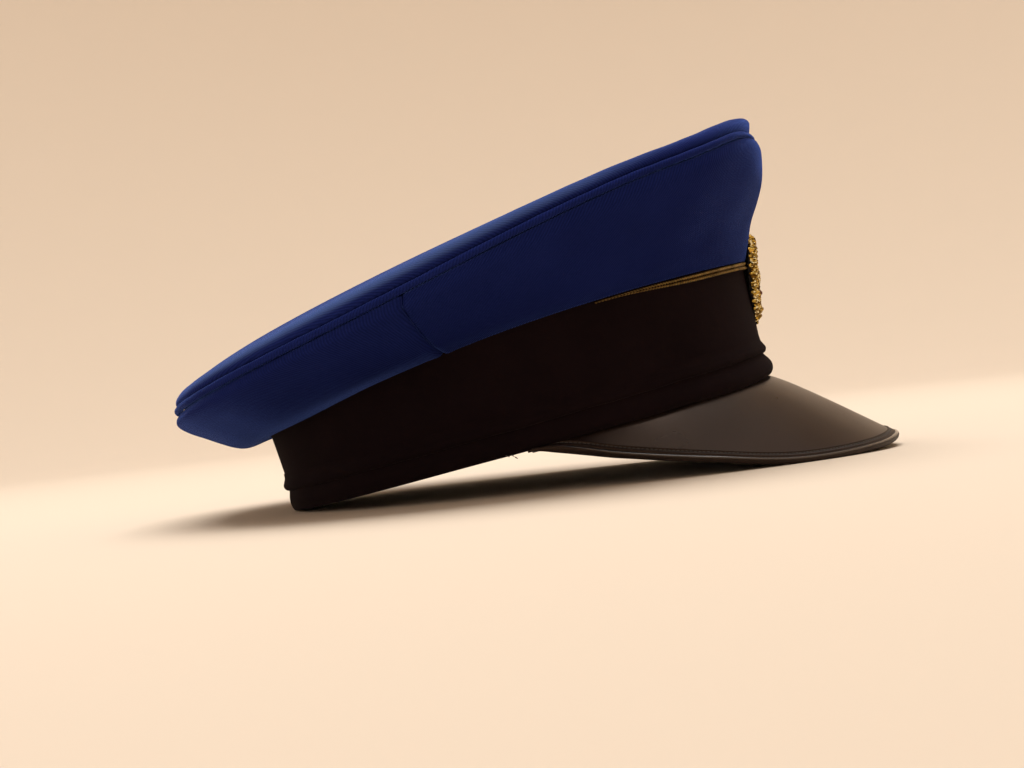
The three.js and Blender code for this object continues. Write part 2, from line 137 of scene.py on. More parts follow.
def loft(name, rings, closed=True):
    """Piece through a row of sections, each a ring of points, with flat ends if it isn't closed.
    Its map, in metres, runs along the row and round the sections."""
    count, ring = rings.shape[:2]
    i, j = np.meshgrid(np.arange(count if closed else count - 1), np.arange(ring), indexing="ij")
    corners = [(i, j), (i + 1, j), (i + 1, j + 1), (i, j + 1)]
    along = np.linalg.norm(np.roll(rings, -1, 0) - rings, axis=2).mean(1)
    around = np.linalg.norm(np.roll(rings, -1, 1) - rings, axis=2).mean(0)
    along = np.concatenate([[0], np.cumsum(along)]) / 1000
    around = np.concatenate([[0], np.cumsum(around)]) / 1000
    faces = np.stack([a % count * ring + b % ring for a, b in corners], axis=-1).reshape(-1, 4)
    maps = np.stack([stack(along[a], around[b], 0)[..., :2] for a, b in corners], axis=2)
    maps = maps.reshape(-1, 4, 2)
    p, q, r, s = (rings.reshape(-1, 3)[faces[:, k]] for k in range(4))
    if (np.cross(q, r) * p + np.cross(r, s) * p).sum() < 0:
        faces = faces[:, ::-1]
        maps = maps[:, ::-1]
    ends = []
    if not closed:
        last = (count - 1) * ring
        flip = faces[0, 0] != 0
        for k in range((ring - 1) // 2):
            strip = list(dict.fromkeys([k, k + 1, ring - 2 - k, ring - 1 - k]))
            ends.append(strip if not flip else strip[::-1])
            ends.append([last + x for x in (strip[::-1] if not flip else strip)])
    mesh = bpy.data.meshes.new(name)
    mesh.from_pydata(at_rest(rings).reshape(-1, 3).tolist(), [], faces.tolist() + ends)
    layer = mesh.uv_layers.new(name="cloth")
    flat = np.zeros((len(mesh.loops), 2), np.float32)
    flat[: len(maps) * 4] = maps.reshape(-1, 2)
    layer.data.foreach_set("uv", flat.ravel())
    shaped = bmesh.new()
    shaped.from_mesh(mesh)
    bmesh.ops.remove_doubles(shaped, verts=shaped.verts, dist=1e-7)
    shaped.to_mesh(mesh)
    shaped.free()
    mesh.shade_smooth()
    mesh.set_sharp_from_angle(angle=math.radians(60))
    piece = bpy.data.objects.new(name, mesh)
    bpy.context.scene.collection.objects.link(piece)
    return piece


def add_node(tree, kind, inputs=(), **settings):
    """Node with its settings, and with its inputs linked or set, by name or place."""
    made = tree.nodes.new(kind)
    for key, value in settings.items():
        setattr(made, key, value)
    for key, value in dict(inputs).items():
        if isinstance(value, bpy.types.NodeSocket):
            tree.links.new(value, made.inputs[key])
        else:
            made.inputs[key].default_value = value
    return made


def calculate(tree, operation, *values):
    """Output of a Math node."""
    return add_node(tree, "ShaderNodeMath", dict(enumerate(values)), operation=operation).outputs[0]


def group_of(name, kind, inputs, outputs):
    """Empty node group with named inputs and outputs, and the sockets to build it from."""
    tree = bpy.data.node_groups.new(name, kind)
    for title, socket, value in inputs:
        made = tree.interface.new_socket(title, in_out="INPUT", socket_type=socket)
        if value is not None:
            made.default_value = value
    for title, socket in outputs:
        tree.interface.new_socket(title, in_out="OUTPUT", socket_type=socket)
    return tree, tree.nodes.new("NodeGroupInput").outputs, tree.nodes.new("NodeGroupOutput")


def new_finish(name, values):
    """Material with the plain values of its shader."""
    material = bpy.data.materials.new(name)
    material.use_nodes = True
    shader = material.node_tree.nodes["Principled BSDF"]
    for key, value in values.items():
        shader.inputs[key].default_value = value
    return material, material.node_tree, shader


def use_group(tree, group, inputs):
    """Outputs of a node group that is set into a material."""
    return add_node(tree, "ShaderNodeGroup", inputs, node_tree=group).outputs


def blend_colours(tree, share, first, second):
    """Colour between two, by a share."""
    mix = add_node(tree, "ShaderNodeMix", {"Factor": share, 6: first, 7: second}, data_type="RGBA")
    return mix.outputs[2]


def mottle(tree, place, scale, detail):
    """Uneven values over a place, finer with a larger scale."""
    noise = add_node(tree, "ShaderNodeTexNoise", {"Vector": place, "Scale": scale, "Detail": detail})
    return noise.outputs[0]


def colour_and_relief(tree, shader, colour, height, depth, strength):
    """Gives a material its colour, and a relief of a depth in metres."""
    bump = add_node(tree, "ShaderNodeBump", {"Height": height, "Distance": depth, "Strength": strength})
    tree.links.new(colour, shader.inputs["Base Color"])
    tree.links.new(bump.outputs[0], shader.inputs["Normal"])


def combine(tree, operation, *values):
    """Outputs of a Vector Math node."""
    return add_node(tree, "ShaderNodeVectorMath", dict(enumerate(values)), operation=operation).outputs


# Specks of lint and dust on cloth: small spots in a few cells of a grid, each a little drawn out.
lint_group, given, taken = group_of(
    "lint",
    "ShaderNodeTree",
    [
        ("Place", "NodeSocketVector", None),
        ("Cells per metre", "NodeSocketFloat", 160.0),
        ("Share with lint", "NodeSocketFloat", 0.1),
        ("Size", "NodeSocketFloat", 0.06),
    ],
    [("Lint", "NodeSocketFloat")],
)
stray = add_node(lint_group, "ShaderNodeTexNoise", {"Vector": given["Place"], "Scale": 900.0})
pull = (0.0016, 0.0016, 0.0016)
drawn = combine(lint_group, "MULTIPLY_ADD", stray.outputs["Color"], pull, given["Place"])[0]
cell = add_node(lint_group, "ShaderNodeTexVoronoi", {"Vector": drawn, "Scale": given["Cells per metre"]})
chosen = add_node(lint_group, "ShaderNodeSeparateColor", {"Color": cell.outputs["Color"]})
is_chosen = calculate(lint_group, "LESS_THAN", chosen.outputs[0], given["Share with lint"])
own_size = calculate(lint_group, "MULTIPLY", chosen.outputs[1], given["Size"])
is_near = calculate(lint_group, "LESS_THAN", cell.outputs["Distance"], own_size)
lint_group.links.new(calculate(lint_group, "MULTIPLY", is_chosen, is_near), taken.inputs["Lint"])

# Short felted nap of wool cloth over a faint plain weave.
nap_group, given, taken = group_of(
    "wool nap",
    "ShaderNodeTree",
    [("Cloth", "NodeSocketVector", None), ("Weave pitch", "NodeSocketFloat", 0.0007)],
    [("Height", "NodeSocketFloat"), ("Shade", "NodeSocketFloat")],
)
nap = mottle(nap_group, given["Cloth"], 2600.0, 3.0)
tuft = mottle(nap_group, given["Cloth"], 420.0, 2.0)
patch = mottle(nap_group, given["Cloth"], 38.0, 2.0)
spot = add_node(nap_group, "ShaderNodeSeparateXYZ", {"Vector": given["Cloth"]})
turn_rate = calculate(nap_group, "DIVIDE", 2 * math.pi, given["Weave pitch"])
warp = calculate(nap_group, "SINE", calculate(nap_group, "MULTIPLY", spot.outputs[0], turn_rate))
weft = calculate(nap_group, "SINE", calculate(nap_group, "MULTIPLY", spot.outputs[1], turn_rate))
weave = calculate(nap_group, "MULTIPLY", warp, weft)
height = calculate(nap_group, "MULTIPLY_ADD", weave, 0.12, nap)
height = calculate(nap_group, "MULTIPLY_ADD", tuft, 0.7, height)
nap_group.links.new(height, taken.inputs["Height"])
shade = calculate(nap_group, "MULTIPLY_ADD", patch, 1.1, -0.35)
shade = calculate(nap_group, "MULTIPLY_ADD", nap, 0.5, shade)
nap_group.links.new(shade, taken.inputs["Shade"])


def black_wool(name, pitch):
    """Matt black wool cloth."""
    values = {
        "Roughness": 0.95,
        "Specular IOR Level": 0.05,
        "Sheen Weight": 0.02,
        "Sheen Roughness": 0.6,
        "Sheen Tint": (0.8, 0.55, 0.6, 1),
    }
    material, tree, shader = new_finish(name, values)
    cloth = add_node(tree, "ShaderNodeUVMap", uv_map="cloth").outputs[0]
    wool = use_group(tree, nap_group, {"Cloth": cloth, "Weave pitch": pitch})
    body = add_node(tree, "ShaderNodeTexCoord").outputs["Object"]
    lint = use_group(
        tree, lint_group, {"Place": body, "Cells per metre": 95.0, "Share with lint": 0.12, "Size": 0.05}
    )
    colour = blend_colours(tree, wool["Shade"], WOOL_DARK, WOOL_LIGHT)
    colour = blend_colours(tree, lint["Lint"], colour, WOOL_LINT)
    colour_and_relief(tree, shader, colour, wool["Height"], depth=0.00025, strength=0.6)
    return material


band_turns = np.linspace(0, 2 * math.pi, BAND_COLUMNS, endpoint=False)[:, None]
band_heights = np.linspace(BAND_WALL / 2, BAND_HEIGHT - BAND_WALL / 2, BAND_ROWS)[None, :]
slack = np.sin(math.pi * band_heights / BAND_HEIGHT)
waves = np.sin(5 * band_turns + 0.6) + 0.6 * np.sin(11 * band_turns + band_heights / 14)
unevenness = BAND_SLACK * slack * waves
band = loft("band_cloth", cloth_wall(band_face(band_turns, band_heights, unevenness), BAND_WALL))
band.data.materials.append(black_wool("black wool of the band", WOOL_WEAVE))
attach(band, "root")
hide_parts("band")

# Cord on the band. A thin cord in the band's own cloth, sewn flat against it near the lower edge.
# The cloth comes down over it from above and is caught under it by the seam.
CORD_HEIGHT = 10.8
CORD_FRONT_LIFT = 0.7
CORD_SECTION = ((0.12, 5.2), (0.35, 3.3), (1.1, 1.8), (1.8, 0.2), (1.5, -1.1), (0.8, -1.8), (0.1, -2.0))
CORD_BACKING = ((-0.4, -2.0), (-0.4, 5.2))
CORD_COLUMNS = 480
CORD_POINTS = 22
CORD_WEAVE = 0.0006


def front_share(turn):
    """1 at the front of the cap, fading to nothing within about 45 degrees."""
    return np.maximum(np.cos(turn), 0) ** 8


cord_turns = np.linspace(0, 2 * math.pi, CORD_COLUMNS, endpoint=False)[:, None]
cord_line = np.concatenate([curve_through(CORD_SECTION, CORD_POINTS), CORD_BACKING])
hand_sewn = 0.12 * np.sin(13 * cord_turns) + 0.08 * np.sin(29 * cord_turns + 1)
cord_height = CORD_HEIGHT + CORD_FRONT_LIFT * front_share(cord_turns) + hand_sewn
cord_rings = band_face(cord_turns, cord_height + cord_line[None, :, 1], cord_line[None, :, 0])
band_cord = loft("band_cord_cloth", cord_rings)
band_cord.data.materials.append(black_wool("black wool of the cord", CORD_WEAVE))
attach(band_cord, "root")
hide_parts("band_cord")

# Padded roll. The cloth below the cord is turned under over a soft filling round the band's lower
# edge. It is fullest at the front, where it lies on the peak's root.
ROLL_SECTION = ((0, 8.6), (0.24, 7.6), (0.64, 6.2), (0.93, 4.7), (1, 3.2), (0.82, 1.5), (0.4, 0.4), (0, 0.1))
ROLL_BACKING = ((-0.4, 0.2), (-0.4, 8.6))
ROLL_POINTS = 22
ROLL_FRONT_OUT = 2.8
ROLL_BACK_OUT = 1.2
ROLL_FRONT_STRETCH = 0.085
ROLL_SAG = 1.4
ROLL_SAG_AT = (30, 16)
ROLL_SINKS = ((0.6, (60, 14)), (0.4, (88, 14)))
ROLL_SHEET = 0.1


def front_side_back(turn, front, side, back):
    """Value that goes smoothly from front to side to back."""
    end = np.where(np.cos(turn) > 0, front, back)
    share = np.sin(turn) ** 2
    return end * (1 - share) + side * share


def from_front(turn):
    """Degrees from the front, the same on either side."""
    return np.degrees(np.arccos(np.cos(turn)))


def bump_at(turn, middle, width):
    """Soft hump, 1 at so many degrees from the front and nothing a few widths away."""
    return np.exp(-(((from_front(turn) - middle) / width) ** 2))


roll_line = np.concatenate([curve_through(ROLL_SECTION, ROLL_POINTS), ROLL_BACKING])
roll_side_out = (ROLL_FRONT_OUT + ROLL_BACK_OUT) / 2
filling = 1 + 0.05 * np.sin(7 * cord_turns + 2) + 0.04 * np.sin(17 * cord_turns)
swollen = front_side_back(cord_turns, ROLL_FRONT_OUT, roll_side_out, ROLL_BACK_OUT) * filling
roll_sunk = sum(depth * bump_at(cord_turns, *place) for depth, place in ROLL_SINKS)
roll_sag = ROLL_SAG * bump_at(cord_turns, *ROLL_SAG_AT)
roll_stretch = 1 + ROLL_FRONT_STRETCH * front_share(cord_turns) + roll_sag / ROLL_SECTION[0][1]
roll_height = roll_stretch * roll_line[None, :, 1] - roll_sunk - roll_sag
roll_rings = band_face(cord_turns, roll_height, ROLL_SHEET + swollen * roll_line[None, :, 0])
band_roll = loft("band_roll_cloth", roll_rings)
band_roll.data.materials.append(black_wool("black wool of the roll", WOOL_WEAVE))
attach(band_roll, "root")
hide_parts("band_roll")

# Side panels of the crown. Two pieces of blue wool twill, one round the front and one round the
# back, joined by a seam at each side. They flare out from the band to the crown's edge, are
# turned under at the band, and sag over it at the back.
CROWN_FRONT_LENGTH = 132
CROWN_FRONT_EXPONENT = 2.2
CROWN_BACK_LENGTH = 130.7
CROWN_BACK_EXPONENT = 2.4
CROWN_HALF_WIDTH = 125
CROWN_FORWARD = -7
CROWN_HEIGHT = 74.5
CROWN_TILT = math.radians(10.05)
CORNER_SAG = 1.2
CORNER_SAG_AT = (42, 13)
SIDE_SAG = 1.5
SIDE_SAG_AT = (110, 26)
FRONT_DIP = 3.0
FRONT_PULL = 1.9
FRONT_HALF_TURN = 22
EDGE_REACH = 30
PANEL_FULLNESS = 1.1
CLOTH = 1.5
SEAM_TURN = 103.5
SEAM_GAP = 0.06
SEAM_LEAN = (-1.2, 2.6)
SEAM_LEAN_REACH = 45
SEAM_DEPTH = 0.85
SEAM_HALF_WIDTH = 0.95
SEAM_SHOULDER = 0.2
SHOULDER_AWAY = 3.2
SHOULDER_WIDTH = 2.4
SEAM_FADE = 0.08
WIDE_DRAG = 0.3
FINE_DRAG = 0.16
PUCKER = 0.16
PUCKER_REACH = 7
HEM_HEIGHTS = (47.4, 47.3, 47, 44.8, 40, 33.6, 31.6)
HEM_STEP = 30
LAP_FRONT = 1.85
LAP_SIDE = 1.2
LAP_BACK = 0.6
FRONT_SWELL = (
    (0, 0), (0.17, 0.15), (0.35, 0.32), (0.63, 0.5), (0.86, 0.67), (0.99, 0.84), (1.03, 0.94), (1, 1),
)
SIDE_SWELL = ((0, 0), (0.2, 0.1), (0.42, 0.28), (0.64, 0.49), (0.84, 0.68), (0.98, 0.84), (1, 1))
BACK_SWELL = (
    (0, 0), (0.11, -0.05), (0.26, -0.1), (0.36, -0.085), (0.46, -0.01), (0.6, 0.15), (0.78, 0.38),
    (0.96, 0.61), (1.05, 0.8), (1.04, 0.93), (1, 1),
)
PANEL_TOP_OUT = 0.7
PANEL_TOP_DOWN = 2.0
TUCK_IN = 1.4
TUCK_DOWN = 1.2
PANEL_ROWS = 44
SEAM_COLUMNS = (0, 0.2, 0.45, 0.75, 1.1, 1.6, 2.3, 3.3, 4.7)
MILLIMETRES_A_DEGREE = 2.06
SEAM_STRETCH = 3.4
COLUMN_STEP = 1.2
RIB_PITCH = 0.00105
BLUE_DEEP = (0.0038, 0.0062, 0.044, 1)
BLUE_LIGHT = (0.0095, 0.0165, 0.104, 1)
# Pale blue of the painted sheen highlight on the top's rolled rim.
BLUE_PAINTED_SHEEN = (0.052, 0.09, 0.26, 1)
BLUE_LINT = (0.08, 0.1, 0.19, 1)


def crown_point(forward, side, rise):
    """Points given in the crown's own plane, which is raised at the front."""
    cos = math.cos(CROWN_TILT)
    sin = math.sin(CROWN_TILT)
    return stack(CROWN_FORWARD + forward * cos - rise * sin, side, CROWN_HEIGHT + forward * sin + rise * cos)


def crown_loop(turn):
    """The crown's edge in its own plane. It is squarer at the back than at the front."""
    is_front = np.cos(turn) > 0
    half_length = np.where(is_front, CROWN_FRONT_LENGTH, CROWN_BACK_LENGTH)
    exponent = np.where(is_front, CROWN_FRONT_EXPONENT, CROWN_BACK_EXPONENT)
    return oval(half_length, CROWN_HALF_WIDTH, exponent, turn)


def front_middle(turn):
    """1 in the middle of the front, and nothing from about 30 degrees on."""
    return np.exp(-((from_front(turn) / FRONT_HALF_TURN) ** 4))


def crown_edge(turn, inward, rise, dip=1.0):
    """Points over the crown's edge loop, moved in towards its middle and up from it. The edge is
    pulled in and down in the middle of the front, and sags a little beside it and at the sides."""
    pulled = front_middle(turn) * dip
    near_edge = np.exp(-((np.maximum(inward, 0) / EDGE_REACH) ** 2))
    drop = FRONT_DIP * pulled + CORNER_SAG * bump_at(turn, *CORNER_SAG_AT)
    drop = drop + SIDE_SAG * bump_at(turn, *SIDE_SAG_AT)
    share = 1 - (inward + FRONT_PULL * pulled) / CROWN_BACK_LENGTH
    forward, side = crown_loop(turn)
    return crown_point(forward * share, side * share, rise - drop * near_edge)


def between_rows(values, position):
    """Value of a table between its rows, level at both ends."""
    values = np.asarray(values, float)
    last = len(values) - 1
    k = np.clip(np.floor(position).astype(int), 0, last - 1)
    t = position - k
    before, here, there, after = (values[last - np.abs(last - np.abs(k + n))] for n in (-1, 0, 1, 2))
    slope = (there - before) / 2
    end_slope = (after - here) / 2
    rise = there - here
    return here + t * (slope + t * (3 * rise - 2 * slope - end_slope + t * (slope + end_slope - 2 * rise)))


def hem_height(turn):
    """Height of the panels' turned edge on the band."""
    return between_rows(HEM_HEIGHTS, from_front(turn) / HEM_STEP)


def panel_face(turn, seam_away):
    """Outer face of a side panel, pulled in along its side seams. The cloth drags a little between
    them and puckers close to them."""
    front, side, back = (curve_through(line, PANEL_ROWS) for line in (FRONT_SWELL, SIDE_SWELL, BACK_SWELL))
    lean = np.radians(np.linspace(*SEAM_LEAN, PANEL_ROWS))[None, :]
    lean = lean * np.exp(-((seam_away / SEAM_LEAN_REACH) ** 2))
    leaning = turn - np.sign(np.sin(turn)) * lean
    out = front_side_back(leaning, front[None, :, 0], side[None, :, 0], back[None, :, 0])[..., None]
    up = front_side_back(leaning, front[None, :, 1], side[None, :, 1], back[None, :, 1])[..., None]
    lap = front_side_back(leaning, LAP_FRONT, LAP_SIDE, LAP_BACK)
    low = band_face(leaning, hem_height(leaning) + CLOTH / 2, lap)
    high = crown_edge(leaning, -PANEL_TOP_OUT - PANEL_FULLNESS * front_middle(leaning), -PANEL_TOP_DOWN)
    mixed = low + (high - low) * out
    mixed[..., 2:] = low[..., 2:] + (high - low)[..., 2:] * up
    tuck = crown_edge(leaning[:, -1:], TUCK_IN, -TUCK_DOWN)
    bend = mixed[:, -1:] * 0.4 + tuck * 0.6 + (0, 0, -0.1)
    face = np.concatenate([mixed, bend, tuck], axis=1)
    rows = np.linspace(0, 1, face.shape[1])[None, :]
    slack = np.sin(math.pi * rows) ** 0.8
    drag = WIDE_DRAG * np.sin(8 * turn + 3 * rows + 0.4) + FINE_DRAG * np.sin(19 * turn - 5 * rows)
    pucker = PUCKER * np.exp(-seam_away / PUCKER_REACH) * np.sin(rows * 34 + turn * 3) * slack
    dip = -SEAM_DEPTH * np.exp(-((seam_away / SEAM_HALF_WIDTH) ** 2))
    dip = dip + SEAM_SHOULDER * np.exp(-(((seam_away - SHOULDER_AWAY) / SHOULDER_WIDTH) ** 2))
    dip = dip * np.clip((1 - rows) / SEAM_FADE, 0, 1)
    normal = np.cross(np.gradient(face, axis=0), np.gradient(face, axis=1))
    normal /= np.linalg.norm(normal, axis=2, keepdims=True)
    return face + normal * (drag * slack + pucker + dip)[..., None]


def panel_turns(start, end):
    """Turns of a panel's columns, close together at its seams, and each one's distance from them."""
    fine = np.array(SEAM_COLUMNS) / MILLIMETRES_A_DEGREE
    middle = np.arange(start + SEAM_STRETCH, end - SEAM_STRETCH, COLUMN_STEP)
    degrees = np.concatenate([start + fine, middle, (end - fine)[::-1]])
    away = np.minimum(degrees - start, end - degrees) * MILLIMETRES_A_DEGREE
    return np.radians(degrees)[:, None], away[:, None]


# Twill: slanting ribs, each of steep little yarns, which wander slightly with the cloth.
twill_group, given, taken = group_of(
    "twill ribs",
    "ShaderNodeTree",
    [
        ("Cloth", "NodeSocketVector", None),
        ("Across ribs", "NodeSocketVector", (0.7, -0.7, 0)),
        ("Rib pitch", "NodeSocketFloat", RIB_PITCH),
    ],
    [("Height", "NodeSocketFloat"), ("Shade", "NodeSocketFloat")],
)
wander = mottle(twill_group, given["Cloth"], 45.0, 1.0)
uneven = mottle(twill_group, given["Cloth"], 420.0, 1.0)
fuzz = mottle(twill_group, given["Cloth"], 3000.0, 2.0)
tone = mottle(twill_group, given["Cloth"], 22.0, 3.0)
across = combine(twill_group, "DOT_PRODUCT", given["Cloth"], given["Across ribs"])["Value"]
along_ribs = combine(twill_group, "CROSS_PRODUCT", (0, 0, 1), given["Across ribs"])[0]
along = combine(twill_group, "DOT_PRODUCT", given["Cloth"], along_ribs)["Value"]
rib = calculate(twill_group, "DIVIDE", across, given["Rib pitch"])
rib = calculate(twill_group, "MULTIPLY_ADD", wander, 0.9, rib)
rib = calculate(twill_group, "MULTIPLY_ADD", uneven, 0.5, rib)
wave = calculate(twill_group, "SINE", calculate(twill_group, "MULTIPLY", rib, 2 * math.pi))
ridge = calculate(twill_group, "MULTIPLY_ADD", wave, 0.5, 0.5)
ridge = calculate(twill_group, "POWER", ridge, 0.7)
yarn = calculate(twill_group, "DIVIDE", along, given["Rib pitch"])
yarn = calculate(twill_group, "MULTIPLY_ADD", rib, 1.3, yarn)
yarn = calculate(twill_group, "SINE", calculate(twill_group, "MULTIPLY", yarn, 2 * math.pi))
height = calculate(twill_group, "MULTIPLY_ADD", yarn, 0.1, ridge)
height = calculate(twill_group, "MULTIPLY_ADD", fuzz, 0.35, height)
twill_group.links.new(height, taken.inputs["Height"])
# Painted shade: the colour is darker in the grooves between the ribs, with tone that differs at random over
# it.
shade = calculate(twill_group, "MULTIPLY_ADD", ridge, 0.55, -0.3)
shade = calculate(twill_group, "MULTIPLY_ADD", tone, 0.75, shade)
shade = calculate(twill_group, "MULTIPLY_ADD", fuzz, 0.3, shade)
twill_group.links.new(shade, taken.inputs["Shade"])


def blue_twill(name, rib_angle, painted_light_factor=1.0, sheen=0.6, painted_sheen=False):
    """Blue wool twill whose ribs lie at an angle, in degrees, to the length of the piece. Its colours
    can be lifted by a factor, as painted light where more light from above meets the cloth, and it can
    be given more sheen. Where an attribute on the mesh asks for it, a pale painted sheen highlight is mixed
    into its colour."""
    values = {
        "Roughness": 0.85,
        "Specular IOR Level": 0.02,
        "Specular Tint": (0.3, 0.5, 1.0, 1),
        "Sheen Weight": sheen,
        "Sheen Roughness": 0.22,
        "Sheen Tint": (0.15, 0.28, 1.0, 1),
    }
    material, tree, shader = new_finish(name, values)
    angle = math.radians(rib_angle)
    cloth = add_node(tree, "ShaderNodeUVMap", uv_map="cloth").outputs[0]
    across_ribs = (-math.sin(angle), math.cos(angle), 0)
    twill = use_group(tree, twill_group, {"Cloth": cloth, "Across ribs": across_ribs})
    body = add_node(tree, "ShaderNodeTexCoord").outputs["Object"]
    lint = use_group(
        tree, lint_group, {"Place": body, "Cells per metre": 120.0, "Share with lint": 0.1, "Size": 0.06}
    )
    # The colours are lifted by the factor as painted light, for pieces that meet more light from above.
    deep = tuple(painted_light_factor * c for c in BLUE_DEEP[:3]) + (1,)
    light = tuple(painted_light_factor * c for c in BLUE_LIGHT[:3]) + (1,)
    # Deep blue in the rib grooves is painted shade.
    colour = blend_colours(tree, twill["Shade"], deep, light)
    # Painted sheen: a pale highlight mixed into the colour where the mesh's attribute says so, stronger on
    # the ribs.
    if painted_sheen:
        sheen_paint = add_node(tree, "ShaderNodeAttribute", attribute_name="painted_sheen").outputs["Fac"]
        on_ribs = calculate(tree, "MULTIPLY_ADD", twill["Shade"], 0.5, 0.6)
        sheen_paint = calculate(tree, "MULTIPLY", sheen_paint, on_ribs)
        colour = blend_colours(tree, sheen_paint, colour, BLUE_PAINTED_SHEEN)
    colour = blend_colours(tree, lint["Lint"], colour, BLUE_LINT)
    colour_and_relief(tree, shader, colour, twill["Height"], depth=0.00022, strength=0.5)
    return material


PANELS = (
    ("crown_front_panel", "crown_side_front", SEAM_GAP - SEAM_TURN, SEAM_TURN - SEAM_GAP, 46),
    ("crown_back_panel", "crown_side_back", SEAM_TURN + SEAM_GAP, 360 - SEAM_TURN - SEAM_GAP, 98),
)
for panel_name, node, start, end, rib_angle in PANELS:
    turn, away = panel_turns(start, end)
    panel = loft(panel_name, cloth_wall(panel_face(turn, away), CLOTH, closed=False), closed=False)
    panel.data.materials.append(blue_twill("blue twill of " + node, rib_angle))
    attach(panel, "root")
    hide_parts(node)

# Piping. A cord covered with a bias strip of the same twill, sewn in between the side panels and
# the top, all round the crown's edge.
PIPING_RADIUS = 1.4
PIPING_COLUMNS = 540
PIPING_SIDES = 20
piping_turns = np.linspace(0, 2 * math.pi, PIPING_COLUMNS, endpoint=False)[:, None]
angles = np.linspace(0, 2 * math.pi, PIPING_SIDES, endpoint=False)[None, :]
gathered = 1 + 0.03 * np.sin(23 * piping_turns) + 0.025 * np.sin(57 * piping_turns + 1)
out = PIPING_RADIUS * gathered * np.cos(angles)
up = PIPING_RADIUS * gathered * np.sin(angles)
piping = loft("crown_piping_cord", crown_edge(piping_turns, -out, up))
# The piping's colours are lifted a little, as painted light from above.
piping.data.materials.append(blue_twill("blue twill of the piping", 52, painted_light_factor=1.15, sheen=0.8))
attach(piping, "root")
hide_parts("crown_piping")

# Top of the crown. One oval piece of the same twill, drawn tight over a hoop inside, so that it
# rolls over at the rim and rises in a shallow dome. Its section is given as distance in from the
# piping, rise at the sides, and how much lower it is at the front and higher at the back.
TOP_SECTION = (
    (1.5, 1.1, 0.0),
    (0.75, 1.75, -0.1),
    (0.4, 2.7, -0.3),
    (0.6, 3.9, -0.6),
    (1.4, 5.1, -0.8),
    (3.2, 6.1, -0.7),
    (7.5, 6.8, -0.3),
    (25, 8.3, 1.5),
    (60, 9.2, 1.5),
    (CROWN_BACK_LENGTH, 9.6, 0.0),
)
TOP_COLUMNS = 300
TOP_ROWS = 46
ROLL_FULLNESS = 1.5
ROLL_FULLNESS_AT = (0, 26)
SIDES_UP = 0.4
SIDES_UP_AT = (90, 22)
FRONT_DOWN = 0.4
FRONT_DOWN_AT = (0, 14)
SAG_MADE_UP = 0.93
GATHERS = 0.05
TOP_SLACK = 0.35
FLAT_FROM = 30
FLAT_AT = 105
ROLL_RISES = (0.5, 5.2, 6.2)
CLOTH_ON_ROLL = (6.5, 1.2, 0)
ROLL_INWARD = 5
# Where the painted sheen highlight lies on the rolled rim: rises, distances in, and its middle and reach in
# turn at the sides.
SHEEN_PAINT_RISES = (2.6, 4.4)
SHEEN_PAINT_INWARD = (6, 24)
SHEEN_PAINT_MIDDLE = 110
SHEEN_PAINT_REACH = 54


def eased(value, start, end):
    """0 up to a start and 1 from an end on, with an easy curve between them."""
    share = np.clip((value - start) / (end - start), 0, 1)
    return share * share * (3 - 2 * share)


top_turns = np.linspace(0, 2 * math.pi, TOP_COLUMNS, endpoint=False)[:, None]
top_line = curve_through(TOP_SECTION, TOP_ROWS)
top_line[-1] = TOP_SECTION[-1]
inward, rise, lean = np.moveaxis(top_line[None], -1, 0)
gathers = GATHERS * np.sin(41 * top_turns) * np.exp(-((inward - 4) / 4) ** 2)
slack = np.exp(-((inward - 45) / 30) ** 2) * TOP_SLACK * np.sin(3 * top_turns + 1)
on_roll = np.clip((rise - 1.1) / 2.8, 0, 1)
fullness = ROLL_FULLNESS * on_roll * np.exp(-((inward / 12) ** 2)) * bump_at(top_turns, *ROLL_FULLNESS_AT)
settled = SIDES_UP * bump_at(top_turns, *SIDES_UP_AT) - FRONT_DOWN * bump_at(top_turns, *FRONT_DOWN_AT)
made_up = SAG_MADE_UP * SIDE_SAG * np.exp(-((inward / EDGE_REACH) ** 2))
settled = settled + made_up * bump_at(top_turns, *SIDE_SAG_AT)
uneven_rise = (gathers + slack + settled * on_roll) * (1 - eased(inward, FLAT_FROM, FLAT_AT))
top_rise = rise - lean * np.cos(top_turns) + uneven_rise
top_face = crown_edge(top_turns, inward - fullness, top_rise, dip=1 - on_roll)
up_in_middle = (-math.sin(CROWN_TILT), 0, math.cos(CROWN_TILT))
crown_top = loft("crown_top_cloth", cloth_wall(top_face, CLOTH, pole=up_in_middle))

# The ribs of the top run straight across it, so its map is its outline in the plane of the
# crown, rolled out flat.
middle = at_rest(crown_point(0, 0, 0))
crown_axes = 1000 * (at_rest(crown_point(*np.eye(3))) - middle)
layer = crown_top.data.uv_layers["cloth"]
spots = np.zeros(len(crown_top.data.vertices) * 3)
crown_top.data.vertices.foreach_get("co", spots)
spots = (spots.reshape(-1, 3) - middle) @ crown_axes.T
corner_of = np.zeros(len(crown_top.data.loops), int)
crown_top.data.loops.foreach_get("vertex_index", corner_of)
turn = np.arctan2(spots[:, 1], spots[:, 0])
forward, side = crown_loop(turn)
share = np.hypot(spots[:, 0], spots[:, 1]) * 1000 / np.hypot(forward, side)
inward_here = CROWN_BACK_LENGTH * (1 - share)
rise_here = spots[:, 2] * 1000
drop_to_rim = np.interp(rise_here, ROLL_RISES, CLOTH_ON_ROLL)
unrolled = np.where(inward_here < ROLL_INWARD, 1 + drop_to_rim / CROWN_BACK_LENGTH, 1)
flat_map = spots[:, :2] * (-1, 1) * unrolled[:, None]
layer.data.foreach_set("uv", flat_map[corner_of].astype(np.float32).ravel())

